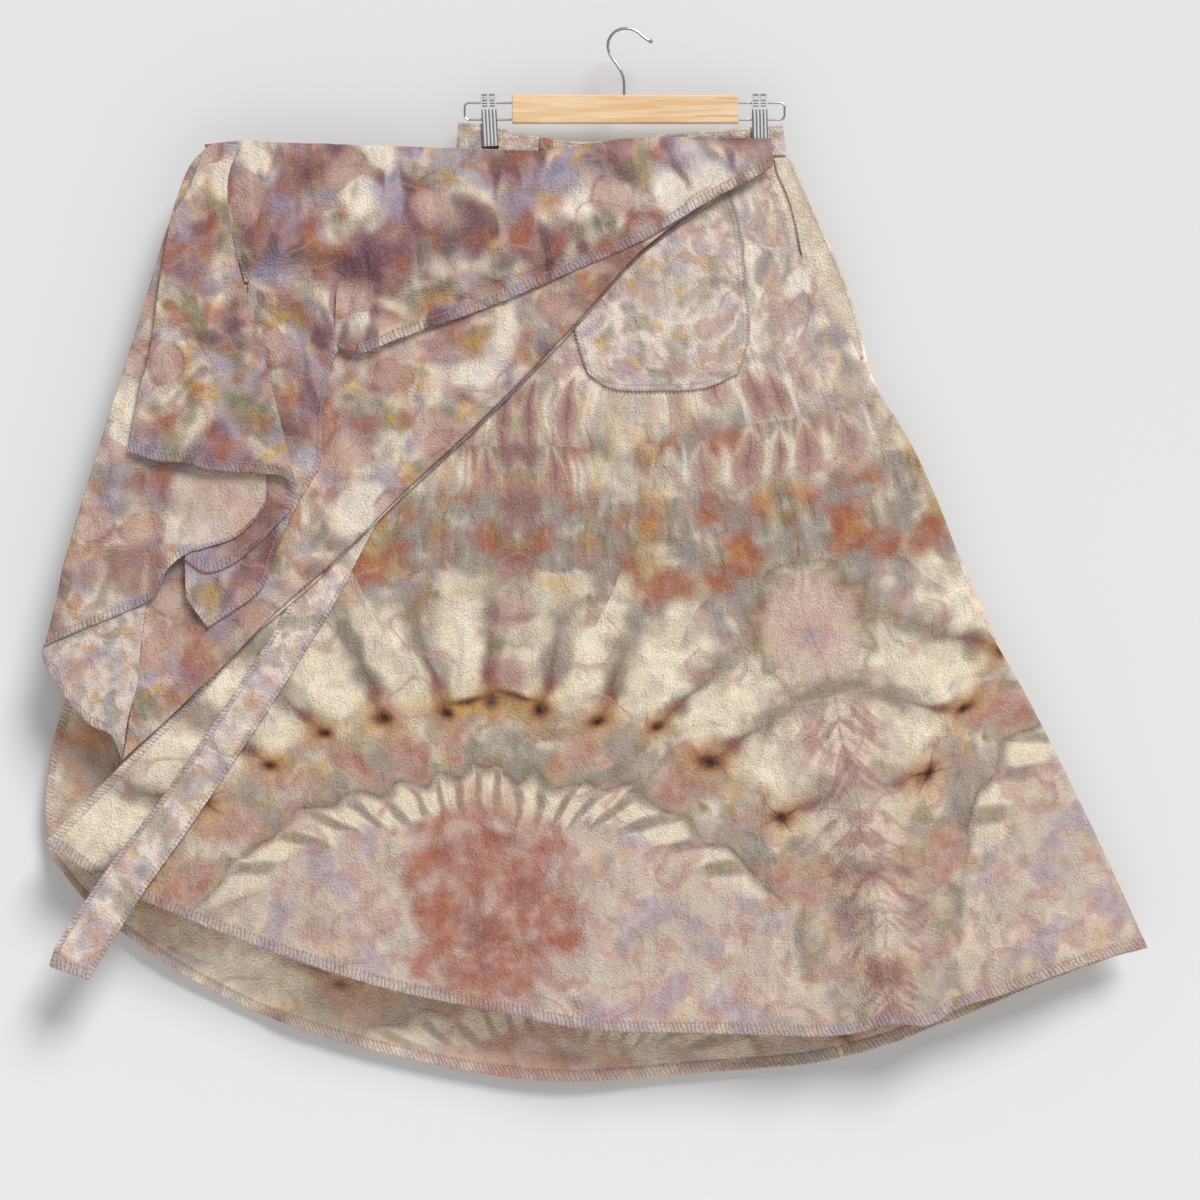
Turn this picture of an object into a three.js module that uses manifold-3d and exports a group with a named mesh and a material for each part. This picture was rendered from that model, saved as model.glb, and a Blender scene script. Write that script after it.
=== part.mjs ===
// A tie-dyed cotton wrap skirt hanging flat from a wooden clip hanger.
//
// Frame: millimetres, +Z up, +X to the viewer's right, the viewer stands on -Y.
// The origin is the point of the hook that rests on the rail: the top of its inside.
// Every height is given as a drop, measured down from that point (z = -drop).
//
// A wrap skirt is one long panel. Hung like this it lies in stretches, back to front:
//   back panel, waistband, front panel with its pocket and tie, then the overlapping end
//   of the panel, folded under, drawn across, draped over and falling at the left side.
// Each stretch is a thin wall between four edges, lying a set distance in front of the last.

import * as THREE from "three";
import { mergeVertices } from "three/addons/utils/BufferGeometryUtils.js";
import Module from "manifold-3d";

const wasm = await Module();
wasm.setup();

// ---------------------------------------------------------------- driving dimensions (mm)

const CLOTH = 1.4; // thickness of every cloth wall, a hemmed and brushed cotton
const LAYER = 2.1; // from the middle of one wall to the middle of the next, where they touch
const SEAM_DEPTH = 0.95; // half the distance between front and back at the side seam
const STRIP_END = 350; // drop where the side strip between front and back runs out

const HOOK_WIRE = 1.6; // radius of the hook's wire
const HOOK_TIP = 2.5; // radius of the rolled end of the hook
const LOOP_WIRE = 1.15; // radius of the wire loop that carries the clips
const LOOP_LEFT = -171;
const LOOP_RIGHT = 166;
const LOOP_TOP = 77; // drop of the upper wire
const LOOP_BOTTOM = 94.6; // drop of the lower wire
const LOOP_CORNER = 4.5;

const BAR_LEFT = -121;
const BAR_RIGHT = 117;
const BAR_TOP = 69.2; // drops
const BAR_BOTTOM = 98.6;
const BAR_DEPTH = 12;
const BAR_EDGE = 1.2; // softened edges of the wood

const CLIP_WIDTH = 16;
const CLIP_TOP = 67.5; // drops
const CLIP_BOTTOM = 124.4;
const CLIP_STEEL = 1; // plate thickness
const CLIP_INSIDE = 2.8; // from the middle plane to the inside of a plate
const CLIP_GRIP = 1.05; // from the middle plane to the face of the grip
const CLIP_LIP = 6; // height of the grip

// How far front and back stand from the middle plane, away from the side seam.
const FULLNESS = table("drop spread", [
  [140, 0.05],
  [250, 3.5],
  [500, 10.0],
  [800, 19.0],
  [1000, 24.0],
  [1110, 26.0],
]);
const FULLNESS_REACH = 220; // distance from the side seam at which the skirt is full

// The side seam, which is also the right-hand outline.
const SIDE_SEAM = table("drop x", [
  [120, 160],
  [194, 197],
  [283, 235],
  [378, 264],
  [519, 335],
  [648, 392],
  [837, 487],
  [966, 545],
]);

// ---------------------------------------------------------------- edges and folds
// An edge is a row for each point where it turns. A fold is a row from its start to its end,
// with the half-width of the ridge and its height towards the viewer (negative for a trough).

const WAIST_EDGE = {
  top: table("x drop", [[-178, 97.4], [-146, 100], [-112, 109], [-81, 115], [-39, 118], [3, 114], [66, 108], [129, 103], [164, 99]]),
  bottom: table("x drop", [[-180, 134], [-112, 141], [-39, 147], [66, 138], [168, 132]]),
  left: table("x drop", [[-178, 97.4], [-180, 134]]),
  right: table("x drop", [[164, 99], [168, 132]]),
};

const BACK_EDGE = {
  top: table("x drop", [[-178, 128], [-112, 135], [-39, 141], [66, 133], [167, 128]]),
  bottom: table("x drop", [
    [-611, 871], [-571, 921], [-495, 981], [-405, 1032], [-293, 1071], [-160, 1101],
    [-66, 1110], [85, 1101], [214, 1088], [310, 1060], [437, 1006], [542, 965],
  ]),
  left: table("x drop", [[-178, 128], [-312, 312], [-459, 516], [-589, 697], [-615, 810], [-611, 871]]),
  right: table("x drop", [[167, 128], [197, 194], [235, 283], [264, 378], [335, 519], [392, 648], [487, 837], [542, 965]]),
};
const BACK_FOLDS = table("x0 drop0 x1 drop1 width height", [
  [229, 916, 229, 1090, 13, -9],
  [318, 894, 320, 1063, 17, -9],
  [0, 600, -60, 1100, 70, 5],
  [-300, 600, -420, 1020, 60, -5],
  [150, 500, 200, 1080, 45, 4],
]);

const FRONT_EDGE = {
  top: table("x drop", [[-156, 131], [-112, 135], [-39, 141], [66, 134], [151, 129]]),
  bottom: table("x drop", [
    [-609, 854], [-553, 892], [-465, 932], [-343, 978], [-238, 1010], [-154, 1027], [-39, 1049], [77, 1053],
    [231, 1055], [276, 1043], [315, 1044], [346, 1028], [400, 1011], [484, 982], [548, 966],
  ]),
  left: table("x drop", [[-156, 131], [-249, 338], [-354, 537], [-439, 680], [-505, 749], [-609, 854]]),
  right: table("x drop", [
    [151, 129], [152, 146], [155, 170], [164, 196], [176, 226], [192, 252], [232, 320],
    [259, 372], [297, 432], [335, 516], [366, 603], [424, 708], [487, 834], [548, 966],
  ]),
};
const FRONT_FOLDS = table("x0 drop0 x1 drop1 width height", [
  [224, 706, 292, 1042, 32, 9],
  [182, 727, 234, 1052, 22, -5],
  [14, 412, -28, 1047, 60, 4],
  [-154, 475, -312, 979, 45, 4],
  [98, 412, 113, 1052, 50, -3],
  [350, 622, 455, 979, 35, 4],
  [-396, 661, -511, 790, 13, 4],
]);

const SIDE_STRIP_EDGE = {
  top: table("x drop", [[155, 135], [172, 134.5]]),
  bottom: table("x drop", [[240, 344], [250, 346]]),
  left: table("x drop", [[155, 135], [158, 150], [168, 172], [176, 198], [181, 222], [188, 252], [206, 284], [226, 320], [240, 344]]),
  right: table("x drop", [[172, 134.5], [180, 153], [198, 194], [219, 239], [236, 283], [246, 322], [250, 346]]),
};

const POCKET_EDGE = {
  top: table("x drop", [[-37, 232], [101, 161]]),
  bottom: table("x drop", [[-41, 363], [-18, 378], [35, 381], [82, 378], [117, 363]]),
  left: table("x drop", [[-37, 232], [-57, 290], [-51, 333], [-41, 363]]),
  right: table("x drop", [[101, 161], [116, 196], [124, 264], [128, 322], [117, 363]]),
};

const TIE_EDGE = {
  top: table("x drop", [[-282, 477], [-247, 495]]),
  bottom: table("x drop", [[-603, 983], [-564, 997]]),
  left: table("x drop", [[-282, 477], [-334, 569], [-370, 634], [-408, 694], [-485, 806], [-550, 892], [-597, 965], [-603, 983]]),
  right: table("x drop", [[-247, 495], [-267, 528], [-300, 591], [-337, 653], [-396, 745], [-465, 848], [-505, 904], [-547, 970], [-564, 997]]),
};

const INNER_LEG_EDGE = {
  top: table("x drop", [[-173, 128], [-112, 136], [-39, 143], [66, 134], [117, 129]]),
  bottom: table("x drop", [[-433, 516], [-406, 579], [-383, 630]]),
  left: table("x drop", [[-173, 128], [-312, 319], [-433, 516]]),
  right: table("x drop", [[117, 129], [106, 166], [14, 239], [-60, 321], [-154, 417], [-238, 495], [-333, 588], [-383, 630]]),
};

const BODY_EDGE = {
  top: table("x drop", [[-419, 138], [-238, 136], [-70, 141], [77, 151], [110, 162]]),
  bottom: table("x drop", [[-528, 768], [-485, 729], [-443, 689], [-421, 668]]),
  left: table("x drop", [[-419, 138], [-443, 317], [-480, 495], [-505, 600], [-511, 663], [-522, 729], [-528, 768]]),
  right: table("x drop", [[110, 162], [14, 235], [-60, 317], [-154, 413], [-238, 491], [-298, 552], [-366, 611], [-421, 668]]),
};
const BODY_FOLDS = table("x0 drop0 x1 drop1 width height", [
  [-312, 545, -450, 690, 11, 3],
  [-350, 530, -500, 705, 13, 4],
  [-380, 470, -480, 640, 18, 1.5],
]);

// The upper drape is read in sections that run down the cloth: top edge to lower edge.
const DRAPE_SECTIONS = table("topX topDrop lowX lowDrop", [
  [-443, 123, -402, 268],
  [-400, 119, -372, 266],
  [-362, 121, -340, 263],
  [-333, 122, -308, 261],
  [-315, 122, -291, 272],
  [-303, 123, -294, 293],
  [-296, 123, -306, 330],
  [-280, 124, -283, 342],
  [-238, 124, -239, 326],
  [-154, 126, -154, 296],
  [-83, 127, -72, 262],
  [1, 115, 18, 222],
  [71, 114, 78, 186],
  [122, 115, 128, 159],
  [152, 115, 153, 145],
]);
const DRAPE_FOLDS = table("x0 drop0 x1 drop1 width height", [
  [-400, 250, -290, 250, 14, 4],
  [-290, 252, -180, 268, 14, 5],
  [-180, 268, -72, 236, 13, 4],
  [-300, 215, -120, 190, 34, 3],
]);

const FRONT_FALL_EDGE = {
  top: table("x drop", [[-396, 258], [-343, 254], [-306, 254], [-282, 268]]),
  bottom: table("x drop", [[-461, 597], [-450, 613], [-438, 629]]),
  left: table("x drop", [[-396, 258], [-406, 327], [-433, 422], [-457, 516], [-462, 555], [-461, 597]]),
  right: table("x drop", [
    [-282, 268], [-289, 304], [-302, 338], [-311, 355], [-320, 419], [-322, 455],
    [-348, 504], [-369, 551], [-383, 588], [-438, 629],
  ]),
};
const FRONT_FALL_FOLDS = table("x0 drop0 x1 drop1 width height", [
  [-345, 300, -395, 540, 14, 1.5],
]);

const INNER_CURL_EDGE = {
  top: table("x drop", [[-434, 456], [-383, 460], [-348, 477]]),
  bottom: table("x drop", [[-462, 558], [-442, 571], [-421, 567], [-390, 546], [-369, 525]]),
  left: table("x drop", [[-434, 456], [-453, 511], [-462, 558]]),
  right: table("x drop", [[-348, 477], [-350, 501], [-369, 525]]),
};

const CORNER_FLAP_EDGE = {
  top: table("x drop", [[-443, 128], [-432, 122], [-406, 124]]),
  bottom: table("x drop", [[-522, 445], [-490, 455], [-462, 457], [-436, 464], [-380, 468], [-360, 471], [-345, 482]]),
  left: table("x drop", [[-443, 128], [-459, 170], [-476, 201], [-487, 254], [-499, 338], [-512, 390], [-522, 445]]),
  right: table("x drop", [[-406, 124], [-418, 159], [-415, 210], [-406, 252], [-390, 305], [-375, 364], [-360, 423], [-345, 482]]),
};
const CORNER_FLAP_FOLDS = table("x0 drop0 x1 drop1 width height", [
  [-452, 250, -440, 450, 30, 5],
  [-428, 170, -400, 330, 10, 3],
]);

const LEFT_FALL_EDGE = {
  top: table("x drop", [[-444, 128], [-419, 134]]),
  bottom: table("x drop", [
    [-609, 648], [-568, 630], [-524, 612], [-495, 597], [-479, 567], [-462, 553],
    [-414, 537], [-396, 524], [-378, 499], [-377, 481],
  ]),
  left: table("x drop", [[-444, 128], [-459, 145], [-483, 213], [-510, 303], [-544, 411], [-589, 561], [-597, 600], [-609, 648]]),
  right: table("x drop", [[-419, 134], [-406, 285], [-383, 411], [-377, 481]]),
};
const LEFT_FALL_FOLDS = table("x0 drop0 x1 drop1 width height", [
  [-490, 300, -560, 600, 16, 4],
  [-450, 330, -500, 580, 14, -2],
]);

const TURNED_FACE_EDGE = {
  top: table("x drop", [[-604, 634], [-553, 608], [-501, 588]]),
  bottom: table("x drop", [[-611, 663], [-591, 697], [-561, 731], [-540, 741], [-528, 767]]),
  left: table("x drop", [[-604, 634], [-612, 653], [-611, 663]]),
  right: table("x drop", [[-501, 588], [-509, 649], [-512, 687], [-522, 725], [-528, 767]]),
};

// Rows from the hook's foot in the bar, up its stem and over the bend to the rolled tip.
const HOOK_LINE = table("x drop", [
  [-3, 73.6], [-3, 66], [-3, 60], [-3.2, 54], [-4.4, 48], [-7, 42], [-11, 36], [-15, 30.5], [-18.6, 24.5],
  [-20.2, 18], [-19.6, 11.5], [-16.6, 5.8], [-12, 1.4], [-6, -1.2], [0, -1.6], [6, -0.8], [11.5, 2.2],
  [16, 6.2], [20.5, 9.6], [25, 12],
]);

// ---------------------------------------------------------------- helpers

/** Rows of numbers as objects with the named columns. */
function table(columns, rows) {
  const names = columns.split(" ");
  return rows.map((row) => Object.fromEntries(names.map((name, i) => [name, row[i]])));
}

const clamp = THREE.MathUtils.clamp;
const smooth = (t) => THREE.MathUtils.smootherstep(t, 0, 1);

/** The value of a column at a key, straight between the rows. */
function lookup(rows, key, at, column) {
  if (at <= rows[0][key]) {
    return rows[0][column];
  }
  for (let i = 1; i < rows.length; i += 1) {
    const a = rows[i - 1];
    const b = rows[i];
    if (at <= b[key]) {
      return THREE.MathUtils.lerp(a[column], b[column], (at - a[key]) / (b[key] - a[key]));
    }
  }
  return rows[rows.length - 1][column];
}

/** The height that a table of soft ridges gives at a point of the cloth. */
function foldHeight(folds, x, drop) {
  let height = 0;
  for (const fold of folds) {
    const dx = fold.x1 - fold.x0;
    const dd = fold.drop1 - fold.drop0;
    const along = ((x - fold.x0) * dx + (drop - fold.drop0) * dd) / (dx * dx + dd * dd);
    const held = clamp(along, 0, 1);
    const away = Math.hypot(x - fold.x0 - held * dx, drop - fold.drop0 - held * dd);
    const rise = smooth(clamp(held * 2.5, 0, 1));
    height += fold.height * rise * Math.exp(-((away / fold.width) ** 2));
  }
  return height;
}

/** Distance that the skirt stands from its middle plane, before any fold. */
function spread(x, drop) {
  const inwards = lookup(SIDE_SEAM, "drop", drop, "x") - x;
  const full = Math.sin((Math.PI / 2) * clamp(inwards / FULLNESS_REACH, 0, 1));
  const seam = THREE.MathUtils.lerp(LAYER, SEAM_DEPTH, smooth(clamp((drop - STRIP_END) / 120, 0, 1)));
  return seam + lookup(FULLNESS, "drop", drop, "spread") * full;
}

/** Folds die out towards the side seam, where front and back are sewn together. */
function freeOfSeam(x, drop) {
  return smooth(clamp((lookup(SIDE_SEAM, "drop", drop, "x") - x) / 60, 0, 1));
}

const backDepth = (x, drop) => spread(x, drop) - foldHeight(BACK_FOLDS, x, drop) * freeOfSeam(x, drop);
const frontDepth = (x, drop) => -spread(x, drop) - foldHeight(FRONT_FOLDS, x, drop) * freeOfSeam(x, drop);

/** A smooth line through the rows of an edge, read by its length. */
function edgeLine(rows) {
  const points = rows.map((row) => new THREE.Vector3(row.x, 0, -row.drop));
  return new THREE.CatmullRomCurve3(points, false, "centripetal");
}

/** The surface between four edges: (u, v) to a point, u across and v downwards. */
function coons(edge) {
  const [top, bottom, left, right] = [edge.top, edge.bottom, edge.left, edge.right].map(edgeLine);
  const [tl, tr, bl, br] = [top.getPointAt(0), top.getPointAt(1), bottom.getPointAt(0), bottom.getPointAt(1)];
  const mix = (a, b, t) => new THREE.Vector3().lerpVectors(a, b, t);
  return (u, v) => {
    const downwards = mix(top.getPointAt(u), bottom.getPointAt(u), v);
    const across = mix(left.getPointAt(v), right.getPointAt(v), u);
    const corners = mix(mix(tl, tr, u), mix(bl, br, u), v);
    return downwards.add(across).sub(corners);
  };
}

/** The surface ruled through sections that each run from the top edge to the lower edge. */
function ruled(sections) {
  const top = edgeLine(sections.map((row) => ({ x: row.topX, drop: row.topDrop })));
  const low = edgeLine(sections.map((row) => ({ x: row.lowX, drop: row.lowDrop })));
  return (u, v) => new THREE.Vector3().lerpVectors(top.getPoint(u), low.getPoint(u), v);
}

/** How far a rolled edge of a given radius has turned back at a distance from the edge. */
function rolled(distance, radius) {
  if (distance >= radius) {
    return 0;
  }
  return radius - Math.sqrt(radius ** 2 - (radius - Math.max(distance, 0)) ** 2);
}

/**
 * A cloth wall on a surface: a flat box of many panels, each vertex moved to its place.
 * place(u, v) gives the point in the hanging plane and depth(u, v, x, drop) gives its y.
 */
function wall({ place, depth, across, down, gather = (u) => u, thickness = CLOTH }) {
  const middle = (u, v) => {
    const at = place(gather(clamp(u, 0, 1)), clamp(v, 0, 1));
    at.y = depth(gather(clamp(u, 0, 1)), clamp(v, 0, 1), at.x, -at.z);
    return at;
  };
  const slope = (a, b) => b.sub(a);
  const geometry = new THREE.BoxGeometry(1, 1, 1, across, down, 1);
  const position = geometry.getAttribute("position");
  const reach = 0.02;
  for (let i = 0; i < position.count; i += 1) {
    const u = position.getX(i) + 0.5;
    const v = 0.5 - position.getY(i);
    const side = position.getZ(i) * thickness;
    const right = slope(middle(u - reach, v), middle(u + reach, v));
    const up = slope(middle(u, v + reach), middle(u, v - reach));
    const normal = right.cross(up).normalize();
    const point = middle(u, v).addScaledVector(normal, side);
    position.setXYZ(i, point.x, point.y, point.z);
  }
  return geometry;
}

/** A path with one corner for each row, so a swept tube turns exactly at the rows. */
class RowPath extends THREE.Curve {
  constructor(points) {
    super();
    this.points = points;
  }

  getPoint(t, target = new THREE.Vector3()) {
    const last = this.points.length - 1;
    const at = clamp(t, 0, 1) * last;
    const i = Math.min(Math.floor(at), last - 1);
    return target.lerpVectors(this.points[i], this.points[i + 1], at - i);
  }

  getPointAt(t, target) {
    return this.getPoint(t, target);
  }

  getTangentAt(t, target) {
    return this.getTangent(t, target);
  }
}

/** A round wire of a given radius along a list of points. */
function wire(points, radius, sides) {
  const section = new THREE.Shape();
  for (let i = 0; i < sides; i += 1) {
    const turn = (i / sides) * Math.PI * 2;
    const [x, y] = [radius * Math.cos(turn), radius * Math.sin(turn)];
    if (i === 0) {
      section.moveTo(x, y);
    } else {
      section.lineTo(x, y);
    }
  }
  section.closePath();
  return new THREE.ExtrudeGeometry(section, {
    steps: points.length - 1,
    bevelEnabled: false,
    extrudePath: new RowPath(points),
  });
}

/** A closed three.js geometry as a solid that can be joined and cut. */
function solid(geometry) {
  const bare = geometry.index ? geometry.toNonIndexed() : geometry.clone();
  bare.deleteAttribute("normal");
  bare.deleteAttribute("uv");
  const merged = mergeVertices(bare, 1e-4);
  return new wasm.Manifold(
    new wasm.Mesh({
      numProp: 3,
      vertProperties: new Float32Array(merged.getAttribute("position").array),
      triVerts: new Uint32Array(merged.index.array),
    }),
  );
}

/** A solid back as a three.js geometry. */
function geometryOf(body) {
  const mesh = body.getMesh();
  const geometry = new THREE.BufferGeometry();
  geometry.setAttribute("position", new THREE.BufferAttribute(new Float32Array(mesh.vertProperties), 3));
  geometry.setIndex(new THREE.BufferAttribute(new Uint32Array(mesh.triVerts), 1));
  geometry.computeVertexNormals();
  return geometry;
}

/** A box from its middle and its size. */
function block(x, y, z, wide, deep, high) {
  return new THREE.BoxGeometry(wide, deep, high).translate(x, y, z);
}

/** A round rod along X, used to bore the holes that a wire runs through. */
function rodAlongX(x, y, z, radius, length) {
  return new THREE.CylinderGeometry(radius, radius, length, 16).rotateZ(Math.PI / 2).translate(x, y, z);
}

const skirt = new THREE.Group();

/** Adds one named sub-part with its own material. */
function add(name, geometry, color, roughness, metalness = 0) {
  const mesh = new THREE.Mesh(geometry, new THREE.MeshStandardMaterial({ color, roughness, metalness }));
  mesh.name = name;
  skirt.add(mesh);
  return mesh;
}

// ---------------------------------------------------------------- back of the skirt

add(
  "back_panel",
  wall({
    place: coons(BACK_EDGE),
    depth: (u, v, x, drop) => backDepth(x, drop),
    across: 30,
    down: 16,
  }),
  0xb98a84,
  0.95,
);

add(
  "waistband",
  wall({ place: coons(WAIST_EDGE), depth: () => 0, across: 16, down: 2 }),
  0xd9c9c4,
  0.95,
);

add(
  "waist_tab",
  wall({
    place: (u, v) => new THREE.Vector3(-92 + 14 * u, 0, -(113 + 2 * u + 13 * v)),
    depth: () => -LAYER + 0.2,
    across: 2,
    down: 2,
  }),
  0xc8b8b0,
  0.95,
);

// ---------------------------------------------------------------- front panel and what lies on it

add(
  "front_panel",
  wall({
    place: coons(FRONT_EDGE),
    depth: (u, v, x, drop) => frontDepth(x, drop),
    across: 32,
    down: 20,
  }),
  0xcbb3a4,
  0.95,
);

add(
  "side_strip",
  wall({
    place: coons(SIDE_STRIP_EDGE),
    depth: () => 0,
    across: 3,
    down: 12,
  }),
  0xe2d3bd,
  0.95,
);

add(
  "patch_pocket",
  wall({
    place: coons(POCKET_EDGE),
    depth: (u, v, x, drop) => frontDepth(x, drop) - LAYER,
    across: 12,
    down: 10,
  }),
  0xcab9ad,
  0.95,
);

add(
  "tie_strap",
  wall({
    place: coons(TIE_EDGE),
    depth: (u, v, x, drop) => frontDepth(x, drop) - LAYER - 1.8 * smooth(clamp((v - 0.3) * 5, 0, 1)),
    across: 3,
    down: 26,
  }),
  0xd2c3c2,
  0.95,
);

// ---------------------------------------------------------------- the overlapping end of the wrap

const legLift = (u, v) => LAYER + LAYER * 1.1 * smooth(clamp(v * 20, 0, 1));

add(
  "wrap_inner_leg",
  wall({
    place: coons(INNER_LEG_EDGE),
    depth: (u, v, x, drop) => frontDepth(x, drop) - legLift(u, v),
    across: 14,
    down: 12,
  }),
  0xbfa9a2,
  0.95,
);

/** Distance from a point to an edge line, in the hanging plane. */
function edgeDistance(rows, x, drop) {
  let best = Infinity;
  for (let i = 1; i < rows.length; i += 1) {
    const [a, b] = [rows[i - 1], rows[i]];
    const [dx, dd] = [b.x - a.x, b.drop - a.drop];
    const t = clamp(((x - a.x) * dx + (drop - a.drop) * dd) / (dx * dx + dd * dd), 0, 1);
    best = Math.min(best, Math.hypot(x - a.x - t * dx, drop - a.drop - t * dd));
  }
  return best;
}

const BODY_LIFT = 9.0; // how far the body of the wrap stands off the front panel at its fold
const BODY_FLAT = 7.0; // and away from the fold
const BODY_START = 6.7; // and along its top edge
const BODY_ROLL = 2.4; // radius of its folded edges

add(
  "wrap_body",
  wall({
    place: coons(BODY_EDGE),
    depth: (u, v, x, drop) => {
      const right = rolled(edgeDistance(BODY_EDGE.right, x, drop), BODY_ROLL);
      const left = rolled(edgeDistance(BODY_EDGE.left, x, drop), BODY_ROLL);
      const rest = edgeDistance(BODY_EDGE.right, x, drop);
      const puff = 1.4 * Math.exp(-(((rest - 22) / 16) ** 2));
      const clear = Math.min(rest / 12, edgeDistance(BODY_EDGE.left, x, drop) / 30);
      const folds = foldHeight(BODY_FOLDS, x, drop) * smooth(clamp(clear, 0, 1));
      const settled = THREE.MathUtils.lerp(BODY_LIFT, BODY_FLAT, smooth(clamp((rest - 20) / 60, 0, 1)));
      const lift = THREE.MathUtils.lerp(BODY_START, settled, smooth(clamp(v * 7, 0, 1)));
      return frontDepth(x, drop) - lift + Math.max(right, left) - (puff * smooth(clamp(v * 7, 0, 1)) + folds);
    },
    across: 22,
    down: 16,
    gather: (u) => 0.5 - 0.5 * Math.sin(Math.PI * (0.5 - u)) * 1,
  }),
  0xd0b2a4,
  0.95,
);

const TURNED_LIFT = 9.3;
add(
  "wrap_turned_face",
  wall({
    place: coons(TURNED_FACE_EDGE),
    depth: (u, v, x, drop) => frontDepth(x, drop) - TURNED_LIFT,
    across: 6,
    down: 6,
  }),
  0xc3aaa2,
  0.95,
);

const FALL_TOP_LIFT = 9.2; // the front edge lies on the body of the wrap
const FALL_LOW_LIFT = 16.2; // and its corner swings clear of the body's folds

/** How far the falling front edge stands off the front panel. */
function fallLift(x, drop) {
  const swing = smooth(clamp((drop - 490) / 90, 0, 1));
  return THREE.MathUtils.lerp(FALL_TOP_LIFT, FALL_LOW_LIFT, swing) + foldHeight(FRONT_FALL_FOLDS, x, drop);
}

const LEFT_FALL_LIFT = 11.5;
add(
  "wrap_left_fall",
  wall({
    place: coons(LEFT_FALL_EDGE),
    depth: (u, v, x, drop) => {
      // Towards the right it loops over the front edge and its curled hem.
      const over = fallLift(x, drop) + LAYER * (1 + smooth(clamp((drop - 390) / 50, 0, 1)));
      const lift = THREE.MathUtils.lerp(LEFT_FALL_LIFT, over, smooth(clamp((x + 512) / 38, 0, 1)));
      const fold = foldHeight(LEFT_FALL_FOLDS, x, drop) * smooth(clamp((1 - v) * 6, 0, 1));
      return frontDepth(x, drop) - lift - fold * smooth(clamp((-474 - x) / 24, 0, 1));
    },
    across: 12,
    down: 14,
  }),
  0xc6b2ac,
  0.95,
);

const DRAPE_START = 4.4; // in front of the clip's jaw
const DRAPE_LIFT = 12.2;
const DRAPE_LEFT_LIFT = 15.8; // over the cloth that falls at the left
add(
  "wrap_upper_drape",
  wall({
    place: ruled(DRAPE_SECTIONS),
    depth: (u, v, x, drop) => {
      const leftwards = smooth(clamp((-200 - x) / 80, 0, 1));
      const full = THREE.MathUtils.lerp(DRAPE_LIFT, DRAPE_LEFT_LIFT, leftwards);
      const start = THREE.MathUtils.lerp(DRAPE_START, DRAPE_LEFT_LIFT, leftwards);
      const below = lookup(DRAPE_SECTIONS, "topX", x, "topDrop");
      const lift = THREE.MathUtils.lerp(start, full, smooth(clamp((drop - below) / 22, 0, 1)));
      return frontDepth(x, drop) - lift - foldHeight(DRAPE_FOLDS, x, drop) * smooth(clamp(v * 5, 0, 1));
    },
    across: 28,
    down: 8,
  }),
  0xb9979a,
  0.95,
);

add(
  "wrap_front_fall",
  wall({
    place: coons(FRONT_FALL_EDGE),
    depth: (u, v, x, drop) => frontDepth(x, drop) - fallLift(x, drop),
    across: 8,
    down: 14,
  }),
  0xc09c94,
  0.95,
);

add(
  "wrap_inner_curl",
  wall({
    place: coons(INNER_CURL_EDGE),
    depth: (u, v, x, drop) => frontDepth(x, drop) - fallLift(x, drop) - LAYER,
    across: 6,
    down: 5,
  }),
  0x8c6a66,
  0.95,
);

const FLAP_TOP_LIFT = 18.0;
const FLAP_LOW_LIFT = 20.8;
add(
  "wrap_corner_flap",
  wall({
    place: coons(CORNER_FLAP_EDGE),
    depth: (u, v, x, drop) => {
      const lift = THREE.MathUtils.lerp(FLAP_TOP_LIFT, FLAP_LOW_LIFT, smooth(v));
      return frontDepth(x, drop) - lift - foldHeight(CORNER_FLAP_FOLDS, x, drop);
    },
    across: 10,
    down: 14,
  }),
  0xbba6a6,
  0.95,
);

// ---------------------------------------------------------------- hanger

const hookPoints = HOOK_LINE.map((row) => new THREE.Vector3(row.x, 0, -row.drop));
const tip = hookPoints[hookPoints.length - 1];
const hookWire = solid(wire(hookPoints, HOOK_WIRE, 10));
const hookTip = solid(new THREE.SphereGeometry(HOOK_TIP, 14, 10).translate(tip.x, tip.y, tip.z));
add("hanger_hook", geometryOf(hookWire.add(hookTip)), 0x9a9c9e, 0.3, 1);

/** The wire loop: from the middle of its lower side round to the same place, just short of closing. */
function loopPoints() {
  const points = [];
  const corner = (cx, cd, from) => {
    for (let i = 0; i <= 4; i += 1) {
      const turn = from + (i / 4) * (Math.PI / 2);
      points.push(new THREE.Vector3(cx + LOOP_CORNER * Math.cos(turn), 0, -cd + LOOP_CORNER * Math.sin(turn)));
    }
  };
  points.push(new THREE.Vector3(0.4, 0, -LOOP_BOTTOM));
  corner(LOOP_RIGHT - LOOP_CORNER, LOOP_BOTTOM - LOOP_CORNER, -Math.PI / 2);
  corner(LOOP_RIGHT - LOOP_CORNER, LOOP_TOP + LOOP_CORNER, 0);
  corner(LOOP_LEFT + LOOP_CORNER, LOOP_TOP + LOOP_CORNER, Math.PI / 2);
  corner(LOOP_LEFT + LOOP_CORNER, LOOP_BOTTOM - LOOP_CORNER, Math.PI);
  points.push(new THREE.Vector3(-0.4, 0, -LOOP_BOTTOM));
  return points;
}
add("hanger_wire", wire(loopPoints(), LOOP_WIRE, 8), 0xa2a4a6, 0.3, 1);

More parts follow.
